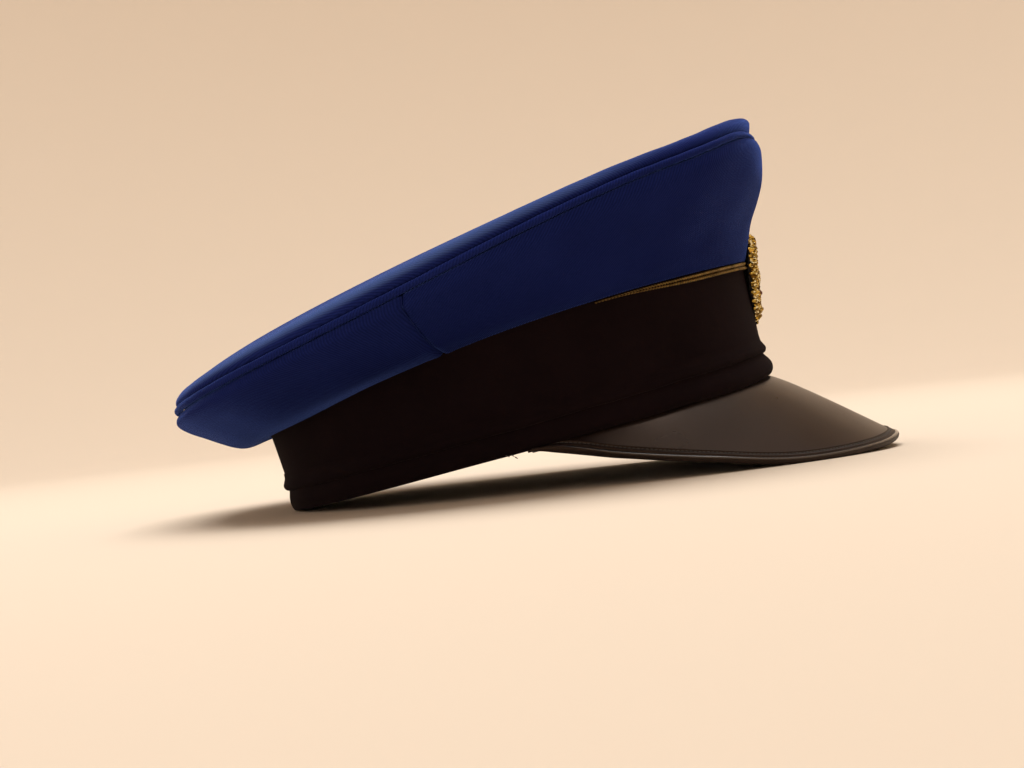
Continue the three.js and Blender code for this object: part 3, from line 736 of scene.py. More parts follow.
# A pale sheen highlight is painted on the rolled rim, most of all at the sides.
painted_sheen = np.interp(rise_here, SHEEN_PAINT_RISES, (0, 1)) * np.interp(inward_here, SHEEN_PAINT_INWARD, (1, 0))
painted_sheen *= np.exp(-(((np.degrees(np.abs(turn)) - SHEEN_PAINT_MIDDLE) / SHEEN_PAINT_REACH) ** 4))
painted_sheen_layer = crown_top.data.attributes.new("painted_sheen", "FLOAT", "POINT")
painted_sheen_layer.data.foreach_set("value", painted_sheen.astype(np.float32))
# The top's colours are lifted as painted light from above, and its rim gets the painted sheen highlight.
crown_top.data.materials.append(blue_twill("blue twill of the top", 30, painted_light_factor=1.35, sheen=1.0, painted_sheen=True))
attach(crown_top, "root")
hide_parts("crown_top")

# Peak. One sheet of stiff leather with a smooth glossy black coat, sewn under the band at the
# front and bent down to a drooping edge.
PEAK_INNER_TURN = 90.5
PEAK_INNER_OUT = -0.8
PEAK_OUTER_TURN = 100
PEAK_HALF_LENGTH = 133
PEAK_HALF_WIDTH = 90
PEAK_EXPONENT = 2.1
PEAK_FORWARD = 15
PEAK_SWELL = 2
PEAK_SWELL_DEPTH = 66.5
PEAK_SWELL_BIAS = 0.55
PEAK_DROPS = (38, 38.3, 33.7, 22.8, 11.4, -0.5)
PEAK_DROP_STEP = 20
PEAK_END_DROP = 0.8
PEAK_END_DROP_AT = (91, 6)
PEAK_SHEET = 1.5
BINDING_FULL_TURN = 93
BINDING_END_TURN = 101
BINDING_END_SIZE = 0.3
BINDING_BULGE = 0.12
BINDING_BULGE_TURN = 86
BINDING_BULGE_WIDTH = 7
SHEET_SET_BACK = 3.9
BEAD_START = 0.0041
BEAD_END = 0.0054
COAT_DARK = (0.006, 0.0038, 0.0036, 1)
COAT_LIGHT = (0.012, 0.0075, 0.0068, 1)
COAT_DUST = (0.09, 0.08, 0.07, 1)


def peak_point(along, share):
    """Upper face of the peak: along it from -1 to 1, and a share of the way out from the band."""
    root = band_face(math.radians(PEAK_INNER_TURN) * along, -0.1, PEAK_INNER_OUT)
    turn = math.radians(PEAK_OUTER_TURN) * along
    forward, side = oval(PEAK_HALF_LENGTH, PEAK_HALF_WIDTH, PEAK_EXPONENT, turn)
    drop = between_rows(PEAK_DROPS, np.abs(np.degrees(turn)) / PEAK_DROP_STEP)
    drop = drop + PEAK_END_DROP * bump_at(turn, *PEAK_END_DROP_AT)
    edge = stack(PEAK_FORWARD + forward, side, -drop)
    depth = np.linalg.norm(edge - root, axis=-1)
    point = root + (edge - root) * np.asarray(share)[..., None]
    hump = np.sin(math.pi * np.asarray(share) ** PEAK_SWELL_BIAS)
    point[..., 2] += PEAK_SWELL * hump * depth / PEAK_SWELL_DEPTH
    return point, depth


def binding_size(along):
    """Size of the binding's section, which thins out as it goes in under the band."""
    turn = PEAK_OUTER_TURN * np.abs(along)
    broader = 1 + BINDING_BULGE * np.exp(-(((turn - BINDING_BULGE_TURN) / BINDING_BULGE_WIDTH) ** 2))
    return broader * (1 - (1 - BINDING_END_SIZE) * eased(turn, BINDING_FULL_TURN, BINDING_END_TURN))


def gloss_black(name, roughness, shine, bead=False):
    """Smooth black coat on leather, with a fine grain, faint scuffs and a little dust. On the bead,
    between BEAD_START and BEAD_END along its section, a strip is drawn smooth over a cord."""
    values = {"IOR": 1.5, "Specular IOR Level": shine, "Specular Tint": (1.0, 0.7, 0.54, 1)}
    if bead:
        values.update({"Coat Roughness": 0.08, "Coat IOR": 1.8})
    material, tree, shader = new_finish(name, values)
    body = add_node(tree, "ShaderNodeTexCoord").outputs["Object"]
    grain = mottle(tree, body, 1400.0, 3.0)
    smudge = mottle(tree, body, 34.0, 4.0)
    stretched = add_node(tree, "ShaderNodeMapping", {"Vector": body, "Scale": (60, 900, 900)})
    marked = calculate(tree, "GREATER_THAN", mottle(tree, stretched.outputs[0], 1.0, 1.0), 0.74)
    if bead:
        cloth = add_node(tree, "ShaderNodeUVMap", uv_map="cloth").outputs[0]
        spot = add_node(tree, "ShaderNodeSeparateXYZ", {"Vector": cloth})
        middle = (BEAD_START + BEAD_END) / 2
        away = calculate(tree, "ABSOLUTE", calculate(tree, "SUBTRACT", spot.outputs[1], middle))
        inside = calculate(tree, "MULTIPLY_ADD", away, -2500.0, (BEAD_END - BEAD_START) * 1250 + 0.6)
        inside = calculate(tree, "MINIMUM", calculate(tree, "MAXIMUM", inside, 0.0), 1.0)
        tree.links.new(inside, shader.inputs["Coat Weight"])
    level = calculate(tree, "MULTIPLY_ADD", smudge, 0.16, roughness - 0.08)
    level = calculate(tree, "MULTIPLY_ADD", marked, 0.12, level)
    dust = use_group(
        tree, lint_group, {"Place": body, "Cells per metre": 260.0, "Share with lint": 0.08, "Size": 0.06}
    )
    colour = blend_colours(tree, smudge, COAT_DARK, COAT_LIGHT)
    colour = blend_colours(tree, dust["Lint"], colour, COAT_DUST)
    colour_and_relief(tree, shader, colour, grain, depth=0.00003, strength=0.5)
    tree.links.new(level, shader.inputs["Roughness"])
    return material


PEAK_COLUMNS = 161
PEAK_ROWS = 26
peak_along = np.linspace(-1, 1, PEAK_COLUMNS)[:, None]
depth = peak_point(peak_along, np.ones((1, 1)))[1]
reach = 1 - SHEET_SET_BACK * binding_size(peak_along) / depth
peak_shares = reach * np.linspace(1, 0, PEAK_ROWS)[None, :]
peak_face = peak_point(peak_along, peak_shares)[0]
peak = loft("peak_leather_sheet", cloth_wall(peak_face, PEAK_SHEET, closed=False), closed=False)
peak.data.materials.append(gloss_black("glossy black leather", 0.31, 0.6))
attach(peak, "root")
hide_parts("peak")

# Binding of the peak. A glossy black strip folded round the peak's edge over a thin cord, and
# sewn through near its inner edge.
BINDING_COLUMNS = 331
BINDING_POINTS = 56
BINDING_SECTION = (
    (5.25, 0.72), (5.22, 1.2), (4.9, 1.3), (4.55, 1.12), (4.2, 0.86), (3.85, 0.98), (3.3, 1.2),
    (2.6, 1.12), (2.2, 1.0), (1.9, 1.2), (1.2, 1.6), (0.4, 1.35), (-0.1, 0.6), (-0.15, -0.5),
    (0.3, -1.3), (1.1, -1.6), (2.4, -1.3), (4.2, -1.1), (5.2, -0.75),
)


def edge_frame(along):
    """Middle line of the peak's edge, with the directions in over the sheet and up from it."""
    outermost = np.ones_like(along)
    edge = peak_point(along, outermost)[0]
    inward = peak_point(along, 0.9 * outermost)[0] - edge
    inward /= np.linalg.norm(inward, axis=-1, keepdims=True)
    ahead = peak_point(along + 0.01, outermost)[0] - peak_point(along - 0.01, outermost)[0]
    upward = np.cross(ahead, inward)
    upward /= np.linalg.norm(upward, axis=-1, keepdims=True)
    return edge - upward * PEAK_SHEET / 2, inward, upward


rim_along = np.linspace(-1, 1, BINDING_COLUMNS) * BINDING_END_TURN / PEAK_OUTER_TURN
edge, inward, upward = edge_frame(rim_along)
section = np.concatenate([curve_through(BINDING_SECTION, BINDING_POINTS), [(4.8, 0)]])
section = section[None] * binding_size(rim_along)[:, None, None]
rings = edge[:, None] + inward[:, None] * section[..., :1] + upward[:, None] * section[..., 1:]
binding = loft("peak_edge_binding", rings, closed=False)
binding.data.materials.append(gloss_black("glossy black binding", 0.5, 0.28, bead=True))
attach(binding, "root")
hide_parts("peak_binding")

# Threads. One small tree makes every stitch and every coil of wire: a round thread, closed at
# both ends and ringed if it is a coil, is set on each point along that point's heading.
thread_tree, given, taken = group_of(
    "threads on points",
    "GeometryNodeTree",
    [
        ("Points", "NodeSocketGeometry", None),
        ("Thickness", "NodeSocketFloat", 0.0004),
        ("Sides", "NodeSocketInt", 6),
        ("Steps", "NodeSocketInt", 8),
        ("Rings", "NodeSocketFloat", 0.0),
        ("Ring depth", "NodeSocketFloat", 0.0),
        ("Material", "NodeSocketMaterial", None),
    ],
    [("Threads", "NodeSocketGeometry")],
)
rod = add_node(
    thread_tree,
    "GeometryNodeMeshCylinder",
    {"Vertices": given["Sides"], "Side Segments": given["Steps"], "Radius": 0.5, "Depth": 1.0},
    fill_type="TRIANGLE_FAN",
)
position = add_node(thread_tree, "GeometryNodeInputPosition")
parts = add_node(thread_tree, "ShaderNodeSeparateXYZ", {"Vector": position.outputs[0]})
end_share = calculate(thread_tree, "ABSOLUTE", calculate(thread_tree, "MULTIPLY", parts.outputs[2], 2.0))
rounding = calculate(thread_tree, "SUBTRACT", 1.02, calculate(thread_tree, "POWER", end_share, 6.0))
rounding = calculate(thread_tree, "SQRT", calculate(thread_tree, "MAXIMUM", rounding, 0.0))
phase = calculate(thread_tree, "MULTIPLY", parts.outputs[2], given["Rings"])
ripple = calculate(thread_tree, "COSINE", calculate(thread_tree, "MULTIPLY", phase, 2 * math.pi))
ripple = calculate(thread_tree, "MULTIPLY", calculate(thread_tree, "SUBTRACT", ripple, 1.0), 0.5)
ripple = calculate(thread_tree, "MULTIPLY_ADD", ripple, given["Ring depth"], 1.0)
width = calculate(thread_tree, "MULTIPLY", rounding, ripple)
width = calculate(thread_tree, "MULTIPLY", width, given["Thickness"])
shaped_x = calculate(thread_tree, "MULTIPLY", parts.outputs[0], width)
shaped_y = calculate(thread_tree, "MULTIPLY", parts.outputs[1], width)
shaped = add_node(thread_tree, "ShaderNodeCombineXYZ", {0: shaped_x, 1: shaped_y, 2: parts.outputs[2]})
thread = add_node(
    thread_tree,
    "GeometryNodeSetPosition",
    {"Geometry": rod.outputs["Mesh"], "Position": shaped.outputs[0]},
)
smooth = add_node(thread_tree, "GeometryNodeSetShadeSmooth", {"Geometry": thread.outputs[0]})
heading, size = (
    add_node(thread_tree, "GeometryNodeInputNamedAttribute", {"Name": name}, data_type="FLOAT_VECTOR")
    for name in ("heading", "size")
)
turned = add_node(
    thread_tree, "FunctionNodeAlignRotationToVector", {"Vector": heading.outputs["Attribute"]}, axis="Z"
)
placed = add_node(
    thread_tree,
    "GeometryNodeInstanceOnPoints",
    {
        "Points": given["Points"],
        "Instance": smooth.outputs[0],
        "Rotation": turned.outputs[0],
        "Scale": size.outputs["Attribute"],
    },
)
real = add_node(thread_tree, "GeometryNodeRealizeInstances", {"Geometry": placed.outputs[0]})
coloured = add_node(
    thread_tree, "GeometryNodeSetMaterial", {"Geometry": real.outputs[0], "Material": given["Material"]}
)
thread_tree.links.new(coloured.outputs[0], taken.inputs["Threads"])


def set_threads(name, starts, ends, material, swell=None, **sizes):
    """Piece made of threads, each from a start to an end in the cap's drawing. A swell, one for
    each of them, makes them thicker or thinner."""
    starts = at_rest(starts)
    ends = at_rest(ends)
    headings = ends - starts
    lengths = np.linalg.norm(headings, axis=1)
    swell = np.ones(len(lengths)) if swell is None else swell
    points = bpy.data.meshes.new(name)
    points.from_pydata(((starts + ends) / 2).tolist(), [], [])
    headings = headings / lengths[:, None]
    points.attributes.new("heading", "FLOAT_VECTOR", "POINT").data.foreach_set("vector", headings.ravel())
    size = np.stack([swell, swell, lengths], axis=1)
    points.attributes.new("size", "FLOAT_VECTOR", "POINT").data.foreach_set("vector", size.ravel())
    drawing = bpy.data.objects.new(name + "_points", points)
    bpy.context.scene.collection.objects.link(drawing)
    modifier = drawing.modifiers.new("threads", "NODES")
    modifier.node_group = thread_tree
    sizes["Material"] = material
    for item in thread_tree.interface.items_tree:
        if item.in_out == "INPUT" and item.name in sizes:
            modifier[item.identifier] = sizes[item.name]
    bpy.context.view_layer.update()
    graph = bpy.context.evaluated_depsgraph_get()
    mesh = bpy.data.meshes.new_from_object(drawing.evaluated_get(graph))
    drawing.modifiers.clear()
    bpy.data.objects.remove(drawing)
    mesh.name = name
    piece = bpy.data.objects.new(name, mesh)
    bpy.context.scene.collection.objects.link(piece)
    return piece


# Stitches of the binding. One row of lockstitch in black thread, sewn through the strip and the
# peak in the groove near the binding's inner edge.
STITCH_PITCH = 1.7
STITCH_START = 0.15
STITCH_END = 1.45
STITCH_INWARD = 4.15
STITCH_UPWARD = 0.98
STITCHED_SHARE = 0.96
THREAD_DARK = (0.012, 0.009, 0.008, 1)
THREAD_LIGHT = (0.05, 0.042, 0.036, 1)


def walk(line):
    """Distance along a line at each of its points."""
    return np.concatenate([[0], np.cumsum(np.linalg.norm(np.diff(line, axis=0), axis=1))])


def points_at(marks, walked, line):
    """Points of a line at some distances along it."""
    return np.stack([np.interp(marks, walked, line[:, k]) for k in range(3)], axis=-1)


thread_black, tree, shader = new_finish("black sewing thread", {"Roughness": 0.5, "Sheen Weight": 0.1})
fibre = mottle(tree, add_node(tree, "ShaderNodeTexCoord").outputs["Object"], 3500.0, 2.0)
colour = blend_colours(tree, fibre, THREAD_DARK, THREAD_LIGHT)
colour_and_relief(tree, shader, colour, fibre, depth=0.0001, strength=0.6)
fine = np.linspace(-STITCHED_SHARE, STITCHED_SHARE, 4000)
edge, inward, upward = edge_frame(fine)
size = binding_size(fine)[:, None]
line = edge + inward * STITCH_INWARD * size + upward * STITCH_UPWARD * size
walked = walk(line)
marks = np.arange(0, walked[-1] - STITCH_PITCH, STITCH_PITCH)
starts = points_at(marks + STITCH_START, walked, line)
ends = points_at(marks + STITCH_END, walked, line)
stitches = set_threads("peak_stitches", starts, ends, thread_black, Thickness=0.42e-3, Sides=8, Steps=8)
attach(stitches, "root")

# Loose ends of black thread. They hang out from under the roll at the peak's right end, where the
# sewing of the peak and its binding starts.
LOOSE_SIZES = {"Thickness": 0.4e-3, "Sides": 6, "Steps": 4}
loose_starts = [(-10.7, -87.6, 0.5), (-9.9, -88.2, -0.1), (-8.7, -87.8, 0.3), (-7.7, -89.2, -0.7)]
loose_ends = [(-9.9, -88.2, -0.1), (-9.4, -89.2, -0.3), (-7.7, -89.2, -0.7), (-6.6, -90.8, -1.8)]
loose = set_threads("loose_threads", loose_starts, loose_ends, thread_black, **LOOSE_SIZES)
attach(loose, "root")

# Gold braid. Two flat strands of gold thread, plaited and laid side by side on the band, close
# under the edge of the front panel. They thin out towards the sides as they go in under it.
BRAID_TURN = 66
BRAID_FULL_TURN = 36
BRAID_PITCH = 1.4
BRAID_THIN = 0.8
BRAID_OUT = 1.45
STRAND_DROP = 0.78
STRAND_GAP = 1.46
TARNISHED = 0.34
# Colours of the painted shade between the coils and of the painted glints.
PAINTED_GAP_SHADE = (0.12, 0.055, 0.008, 1)
PAINTED_GLINT = (1.0, 0.92, 0.6, 1)


def gold(name, tint, roughness, painted_glints=0.0):
    """Gilt wire and thread, brighter in places and a little tarnished in others. With a share of
    painted glints, some small cells of it are painted much brighter, as glints, and others much darker, as
    shade between the coils."""
    material, tree, shader = new_finish(name, {"Metallic": 1.0, "Roughness": roughness})
    body = add_node(tree, "ShaderNodeTexCoord").outputs["Object"]
    tarnish = calculate(tree, "MULTIPLY_ADD", mottle(tree, body, 260.0, 3.0), 2.4, -0.7)
    dark = tuple(TARNISHED * c for c in tint) + (1,)
    colour = blend_colours(tree, tarnish, dark, (*tint, 1))
    if painted_glints:
        # Painted glints and painted shade: some small cells are made much brighter and others much darker.
        glint_cells = add_node(tree, "ShaderNodeTexVoronoi", {"Vector": body, "Scale": 1150.0})
        own = add_node(tree, "ShaderNodeSeparateColor", {"Color": glint_cells.outputs["Color"]}).outputs[0]
        dull = calculate(tree, "MULTIPLY", calculate(tree, "LESS_THAN", own, 0.38), painted_glints)
        bright = calculate(tree, "MULTIPLY", calculate(tree, "GREATER_THAN", own, 0.82), painted_glints)
        colour = blend_colours(tree, dull, colour, PAINTED_GAP_SHADE)
        colour = blend_colours(tree, bright, colour, PAINTED_GLINT)
    colour_and_relief(tree, shader, colour, mottle(tree, body, 5200.0, 1.0), depth=0.00008, strength=0.5)
    return material


braid_gold = gold("gold thread", (0.34, 0.22, 0.07), 0.42)
braid_starts = []
braid_ends = []
braid_swell = []
fine = np.radians(np.linspace(-BRAID_TURN, BRAID_TURN, 4000))
taper = eased(np.degrees(np.abs(fine)), BRAID_FULL_TURN, BRAID_TURN)
for strand in (0, 1):
    below = (STRAND_DROP + STRAND_GAP * strand) * (1 - BRAID_THIN * taper)
    line = band_face(fine, hem_height(fine) - below, BRAID_OUT - 0.4 * taper)
    walked = walk(line)
    marks = np.arange(0.6, walked[-1] - 0.6, BRAID_PITCH)
    middle = points_at(marks, walked, line)
    turn = np.interp(marks, walked, fine)
    size = 1 - BRAID_THIN * np.interp(marks, walked, taper)
    ahead = points_at(marks + 0.1, walked, line) - middle
    ahead /= np.linalg.norm(ahead, axis=1, keepdims=True)
    outward = stack(np.cos(turn), np.sin(turn), 0 * turn)
    slant = ahead * 0.78 + np.array([0, 0, 0.4 if strand else -0.4]) * size[:, None]
    braid_starts.append(middle - slant + outward * 0.25)
    braid_ends.append(middle + slant - outward * 0.25)
    braid_swell.append(size)
braid = set_threads(
    "gold_braid_threads",
    np.concatenate(braid_starts),
    np.concatenate(braid_ends),
    braid_gold,
    swell=np.concatenate(braid_swell),
    Thickness=0.98e-3,
    Sides=10,
    Steps=12,
)
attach(braid, "root")
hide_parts("gold_braid")

# Core of the braid. A flat cotton tape, dyed dull gold, that the gold threads are plaited over. It
# shows between the strands and is sewn to the band.
TAPE_SECTION = (
    (0.2, 0.1), (0.8, 0.1), (1.2, -0.4), (1.15, -0.9), (0.75, -1.5), (1.15, -2.1), (1.1, -2.6),
    (0.5, -2.9), (0.2, -2.9),
)
tape_turns = np.radians(np.linspace(-BRAID_TURN, BRAID_TURN, 140))[:, None]
narrow = 1 - BRAID_THIN * eased(np.degrees(np.abs(tape_turns)), BRAID_FULL_TURN, BRAID_TURN)
tape_line = np.array(TAPE_SECTION)[None]
tape_height = hem_height(tape_turns) + tape_line[..., 1] * narrow
tape = loft("gold_braid_tape", band_face(tape_turns, tape_height, tape_line[..., 0]), closed=False)
tape.data.materials.append(gold("dull gold tape", (0.07, 0.035, 0.02), 0.65))
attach(tape, "root")

# Badge backing. An oval of thick black felt, bent round the front of the cap and leaning out at
# its top, with a soft rounded edge.
BADGE_HALF_WIDTH = 18.4
BADGE_HALF_HEIGHT = 19
BADGE_FELT = 1.2
BADGE_FORWARD = 107.1
BADGE_HEIGHT = 41
BADGE_LEAN = math.radians(11.5)
BADGE_BEND = 62


def on_front(drawn):
    """Points of the badge's flat drawing, across to the wearer's left, up and out, on the cap."""
    drawn = np.asarray(drawn, float)
    across = drawn[..., 0]
    high = drawn[..., 1]
    out = drawn[..., 2]
    angle = across / BADGE_BEND
    ahead = (BADGE_BEND + out) * np.cos(angle) - BADGE_BEND
    side = (BADGE_BEND + out) * np.sin(angle)
    forward = BADGE_FORWARD + ahead * math.cos(BADGE_LEAN) + high * math.sin(BADGE_LEAN)
    return stack(forward, side, BADGE_HEIGHT + high * math.cos(BADGE_LEAN) - ahead * math.sin(BADGE_LEAN))


FELT_SECTION = (
    (0, 0), (0.5, 0), (0.95, 0), (0.99, 0.1), (1, 0.3), (0.985, 0.6), (0.95, 0.95), (0.88, 1.2),
    (0.75, 1.3), (0.4, 1.3), (0, 1.3),
)
FELT_DARK = (0.004, 0.0035, 0.005, 1)
FELT_LIGHT = (0.014, 0.012, 0.015, 1)
felt_turns = np.linspace(0, 2 * math.pi, 96, endpoint=False)[:, None]
felt_line = np.array(FELT_SECTION)
felt_rings = stack(
    BADGE_HALF_WIDTH * felt_line[None, :, 0] * np.sin(felt_turns),
    BADGE_HALF_HEIGHT * felt_line[None, :, 0] * np.cos(felt_turns),
    felt_line[None, :, 1] - 0.1,
)
backing = loft("badge_felt_oval", on_front(felt_rings))
felt_finish, tree, shader = new_finish(
    "black felt", {"Roughness": 1.0, "Specular IOR Level": 0.1, "Sheen Weight": 0.08, "Sheen Roughness": 0.6}
)
body = add_node(tree, "ShaderNodeTexCoord").outputs["Object"]
wool = use_group(tree, nap_group, {"Cloth": body, "Weave pitch": 0.002})
colour = blend_colours(tree, wool["Shade"], FELT_DARK, FELT_LIGHT)
colour_and_relief(tree, shader, colour, wool["Height"], depth=0.0004, strength=0.8)
backing.data.materials.append(felt_finish)
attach(backing, "root")
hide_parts("badge_backing")

# Branches of the badge's wreath. Short lengths of coiled gold wire are laid slantwise over
# padding, to both sides of each leaf's middle line, and a longer row of them makes the stem.
WREATH_HALF_WIDTH = 14
WREATH_HALF_HEIGHT = 16
WREATH_FOOT = 169
WREATH_TIP = 30
WREATH_LEAVES = 12
LEAF_LENGTH = 6.1
LEAF_HALF_WIDTH = 1.5
LEAF_SPLAY = math.radians(44)
LEAF_PADDING = 1.8
COIL_STEP = 0.66
COIL_SLANT = math.radians(48)
COIL_UNEVENNESS = 0.16
STEM_LIFT = 1.1
STEM_STEP = 1.05
STEM_COIL = 1.25
WREATH_COILS = {"Thickness": 0.8e-3, "Sides": 7, "Steps": 10, "Rings": 5.0, "Ring depth": 0.3}
BRANCHES = (
    ("badge_wreath_left", "badge_branch_left", 1),
    ("badge_wreath_right", "badge_branch_right", -1),
)
chance = np.random.default_rng(7)
# Its small cells are painted as glints and as shade between the coils.
wire_gold = gold("gold wire", (0.86, 0.58, 0.12), 0.24, painted_glints=0.9)


def felt_face(point):
    """Height of the felt under a point of the drawing. It rounds down towards the felt's rim."""
    reach = math.hypot(point[0] / BADGE_HALF_WIDTH, point[1] / BADGE_HALF_HEIGHT)
    over = min(max((reach - 0.84) / 0.2, 0), 1)
    return BADGE_FELT * (1 - over * over)


for name, node, side in BRANCHES:
    starts = []
    ends = []
    swell = []
    path_turns = np.radians(np.linspace(WREATH_FOOT, WREATH_TIP, 400))
    high, across = oval(WREATH_HALF_HEIGHT, WREATH_HALF_WIDTH, 2, path_turns)
    path = stack(side * across, high, 0 * high)
    walked = walk(path)
    for leaf in range(WREATH_LEAVES):
        at = walked[-1] * (leaf + 0.2) / WREATH_LEAVES
        root = points_at(at, walked, path)
        heading = points_at(at + 0.5, walked, path) - points_at(at - 0.5, walked, path)
        heading_angle = math.atan2(heading[1], heading[0])
        for splay in (-LEAF_SPLAY, LEAF_SPLAY):
            angle = heading_angle + splay
            ahead = np.array([math.cos(angle), math.sin(angle), 0])
            beside = np.array([-math.sin(angle), math.cos(angle), 0])
            for step in np.arange(0.4, LEAF_LENGTH - 0.9, COIL_STEP):
                share = (step + 0.8) / (LEAF_LENGTH + 0.8)
                half_width = LEAF_HALF_WIDTH * math.sin(math.pi * share) ** 0.75
                crest = 0.6 + LEAF_PADDING * math.sin(math.pi * share) ** 0.7
                forward_reach = 0.9 * half_width / math.tan(COIL_SLANT)
                for half in (-1, 1):
                    jitter = chance.uniform(-COIL_UNEVENNESS, COIL_UNEVENNESS, 3)
                    vein = root + ahead * step + jitter
                    tip = vein + ahead * forward_reach + beside * half * half_width
                    vein[2] = felt_face(vein) + crest + jitter[2]
                    tip[2] = felt_face(tip) + 0.2 + 0.4 * jitter[0]
                    starts.append(vein)
                    ends.append(tip)
                    swell.append(chance.uniform(0.9, 1.2))
    for at in np.arange(0.4, walked[-1] - 1.2, STEM_STEP):
        lift = np.array([0, 0, BADGE_FELT + STEM_LIFT])
        starts.append(points_at(at, walked, path) + lift)
        ends.append(points_at(at + STEM_COIL, walked, path) + lift)
        swell.append(1.35)
    for step in range(3):
        foot = np.array([side * (0.9 - 1.2 * step), -15.4 - 1.35 * step, BADGE_FELT + 0.8 - 0.2 * step])
        starts.append(foot)
        ends.append(foot + (-side * 1.3, -1.5, -0.2))
        swell.append(1.5)
    branch = set_threads(name, on_front(starts), on_front(ends), wire_gold, np.array(swell), **WREATH_COILS)
    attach(branch, "root")
    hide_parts(node)

# Boss in the middle of the wreath. A domed pad covered with rings of short pieces of coiled wire,
# with a twisted cord round its foot.
BOSS_RINGS = ((5.9, 0.75), (5.15, 1.35), (4.35, 1.85), (3.5, 2.25), (2.6, 2.5), (1.7, 2.7), (0.8, 2.8))
BOSS_COIL = 1.15
BOSS_COILS = {"Thickness": 0.9e-3, "Sides": 8, "Steps": 14, "Rings": 7.0, "Ring depth": 0.22}
starts = []
ends = []
swell = []
for radius, lift in BOSS_RINGS:
    number = max(3, round(2 * math.pi * radius / BOSS_COIL))
    for k in range(number):
        first = 2 * math.pi * (k + chance.uniform(-0.15, 0.15)) / number + radius
        second = first + 2 * math.pi / number * 1.08
        wobble = chance.uniform(-0.12, 0.12)
        for angle, kept in ((first, starts), (second, ends)):
            kept.append((radius * math.sin(angle), radius * math.cos(angle), BADGE_FELT + lift + wobble))
        swell.append(chance.uniform(0.92, 1.12))
boss = set_threads(
    "badge_boss_coils", on_front(starts), on_front(ends), wire_gold, np.array(swell), **BOSS_COILS
)
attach(boss, "root")
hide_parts("badge_boss")

# Knots of the badge. Two small tight knots of wire, one copper brown at the foot of the boss and
# one gold where the two stems are tied.
KNOT_RINGS = ((1.5, 1.1), (1.3, 1.9), (0.9, 2.6), (0.35, 3.1))
copper_wire = gold("copper brown wire", (0.28, 0.1, 0.06), 0.35)
for name, high, finish in (("badge_boss_knot", -6.7, copper_wire), ("badge_stem_knot", -13.4, wire_gold)):
    starts = []
    ends = []
    for radius, lift in KNOT_RINGS:
        for k in range(6):
            angle = math.pi * k / 3 + lift
            point = np.array([radius * math.sin(angle), high + radius * math.cos(angle), BADGE_FELT + lift])
            turned = np.array([math.cos(angle), -math.sin(angle), 0.3]) * 0.75 * max(radius, 0.6)
            starts.append(point - turned)
            ends.append(point + turned)
    knot = set_threads(name, on_front(starts), on_front(ends), finish, Thickness=0.85e-3, Sides=8, Steps=8)
    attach(knot, "root")

# Pad of the boss. A domed filling of soft cotton in dull gold, glued on the felt, that the coils
# are laid over.
PAD_SECTION = ((6.1, 0.1), (6.1, 0.6), (5.0, 1.35), (3.4, 2.05), (1.7, 2.45), (0, 2.55))
pad_line = np.concatenate([[(0, 0.1)], curve_through(PAD_SECTION, 16)])
pad_turns = np.linspace(0, 2 * math.pi, 40, endpoint=False)[:, None]
pad_rings = stack(
    pad_line[None, :, 0] * np.sin(pad_turns),
    pad_line[None, :, 0] * np.cos(pad_turns),
    BADGE_FELT + pad_line[None, :, 1],
)
pad = loft("badge_boss_pad", on_front(pad_rings))
pad.data.materials.append(gold("dull gold pad", (0.3, 0.19, 0.06), 0.6))
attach(pad, "root")

# Floor. A pale seamless sweep of matt board, in metres. It is flat under the cap and rises in a
# wide curve all round it.
FLOOR_RADIUS = 1.25
FLOOR_CURVE = 0.9
FLOOR_HEIGHT = 2.6
FLOOR_SIDES = 72
sweep_line = [(0.0, 0.0), (0.3, 0.0), (FLOOR_RADIUS, 0.0)]
for step in range(1, 13):
    angle = math.pi / 2 * step / 12
    sweep_line.append((FLOOR_RADIUS + FLOOR_CURVE * math.sin(angle), FLOOR_CURVE * (1 - math.cos(angle))))
sweep_line.append((FLOOR_RADIUS + FLOOR_CURVE, FLOOR_HEIGHT))
sweep = bmesh.new()
columns = []
for k in range(FLOOR_SIDES):
    angle = 2 * math.pi * k / FLOOR_SIDES
    columns.append([sweep.verts.new((r * math.cos(angle), r * math.sin(angle), z)) for r, z in sweep_line])
for here, there in zip(columns, columns[1:] + columns[:1]):
    for a in range(len(sweep_line) - 1):
        sweep.faces.new((here[a], here[a + 1], there[a + 1], there[a]))
bmesh.ops.remove_doubles(sweep, verts=sweep.verts, dist=1e-6)
floor_mesh = bpy.data.meshes.new("floor")
sweep.to_mesh(floor_mesh)
sweep.free()
floor_mesh.shade_smooth()
floor = bpy.data.objects.new("floor", floor_mesh)
bpy.context.scene.collection.objects.link(floor)
floor_finish, tree, shader = new_finish(
    "pale floor", {"Base Color": (0.75, 0.635, 0.515, 1), "Roughness": 0.9, "Specular IOR Level": 0.2}
)
floor_mesh.materials.append(floor_finish)

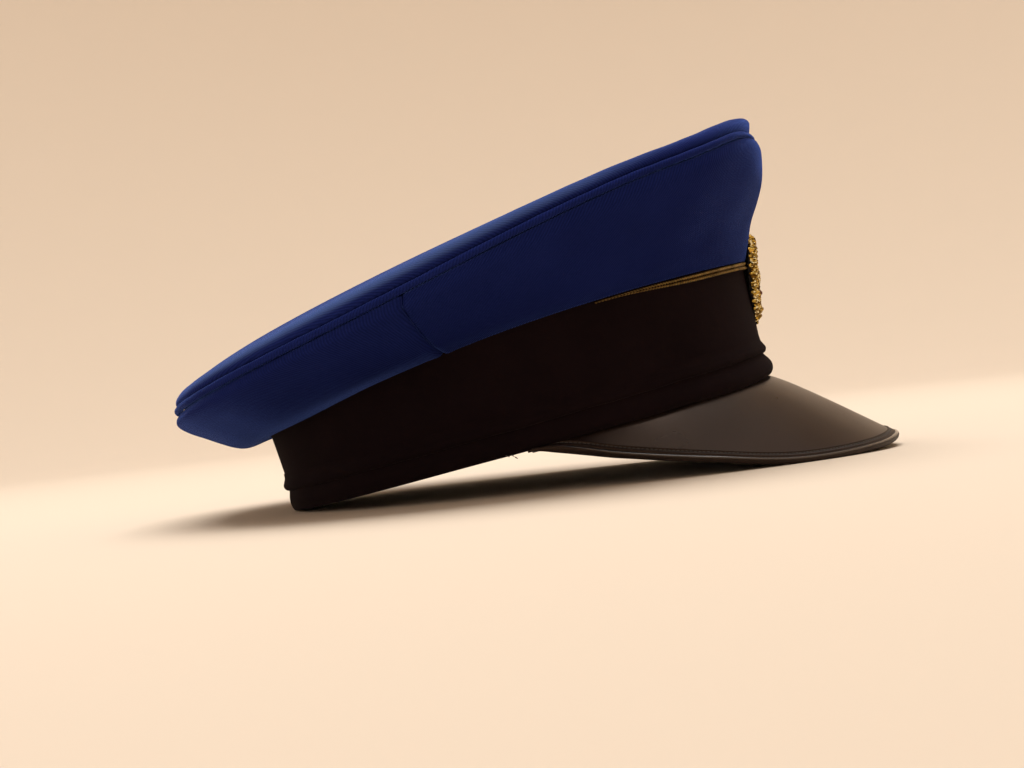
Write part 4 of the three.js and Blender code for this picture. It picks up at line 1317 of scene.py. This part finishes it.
# Light. A broad soft panel overhead and a little behind the cap, a weak one at the viewer's left,
# and an even pale surround.
SURROUND_COLOUR = (1.0, 0.96, 0.92, 1)
SURROUND_STRENGTH = 0.45
LIGHTS = (
    ("overhead", (0.35, 0.0, 1.7), (0, 0, 0), 1.7, 38, (1.0, 0.98, 0.95)),
    ("left_fill", (-1.1, 1.0, 0.5), (0, 0.05, 0.05), 0.7, 2.2, (1.0, 0.98, 0.95)),
)
for light_name, spot, aim, size, power, colour in LIGHTS:
    lamp = bpy.data.lights.new(light_name, "AREA")
    lamp.size = size
    lamp.energy = power
    lamp.color = colour
    holder = bpy.data.objects.new(light_name, lamp)
    holder.location = spot
    holder.rotation_euler = (Vector(aim) - Vector(spot)).to_track_quat("-Z", "Y").to_euler()
    bpy.context.scene.collection.objects.link(holder)
world = bpy.data.worlds.new("surround")
world.use_nodes = True
world.node_tree.nodes["Background"].inputs["Color"].default_value = SURROUND_COLOUR
world.node_tree.nodes["Background"].inputs["Strength"].default_value = SURROUND_STRENGTH
bpy.context.scene.world = world
bpy.context.scene.view_settings.view_transform = "Standard"

# Camera. It looks square at the wearer's right side from 85 cm away, level with the band, and is
# rolled as the photograph was, by 16 degrees against the band.
CAMERA_ROLL = math.radians(16.05)
CAMERA_AWAY = 850
CAMERA_FORWARD = -1.017
CAMERA_UP = 25.72
CAMERA_LENS = 71.27
place = at_rest((CAMERA_FORWARD, -CAMERA_AWAY, CAMERA_UP))
right = at_rest((math.cos(CAMERA_ROLL), 0, -math.sin(CAMERA_ROLL))) - at_rest((0, 0, 0))
above = at_rest((math.sin(CAMERA_ROLL), 0, math.cos(CAMERA_ROLL))) - at_rest((0, 0, 0))
right = Vector(right).normalized()
above = Vector(above).normalized()
camera = bpy.data.objects.new("camera", bpy.data.cameras.new("camera"))
camera.data.lens = CAMERA_LENS
camera.data.sensor_width = 36
camera.data.clip_start = 0.05
axes = Matrix((right, above, right.cross(above))).transposed()
camera.matrix_world = Matrix.Translation(Vector(place)) @ axes.to_4x4()
bpy.context.scene.collection.objects.link(camera)
bpy.context.scene.camera = camera
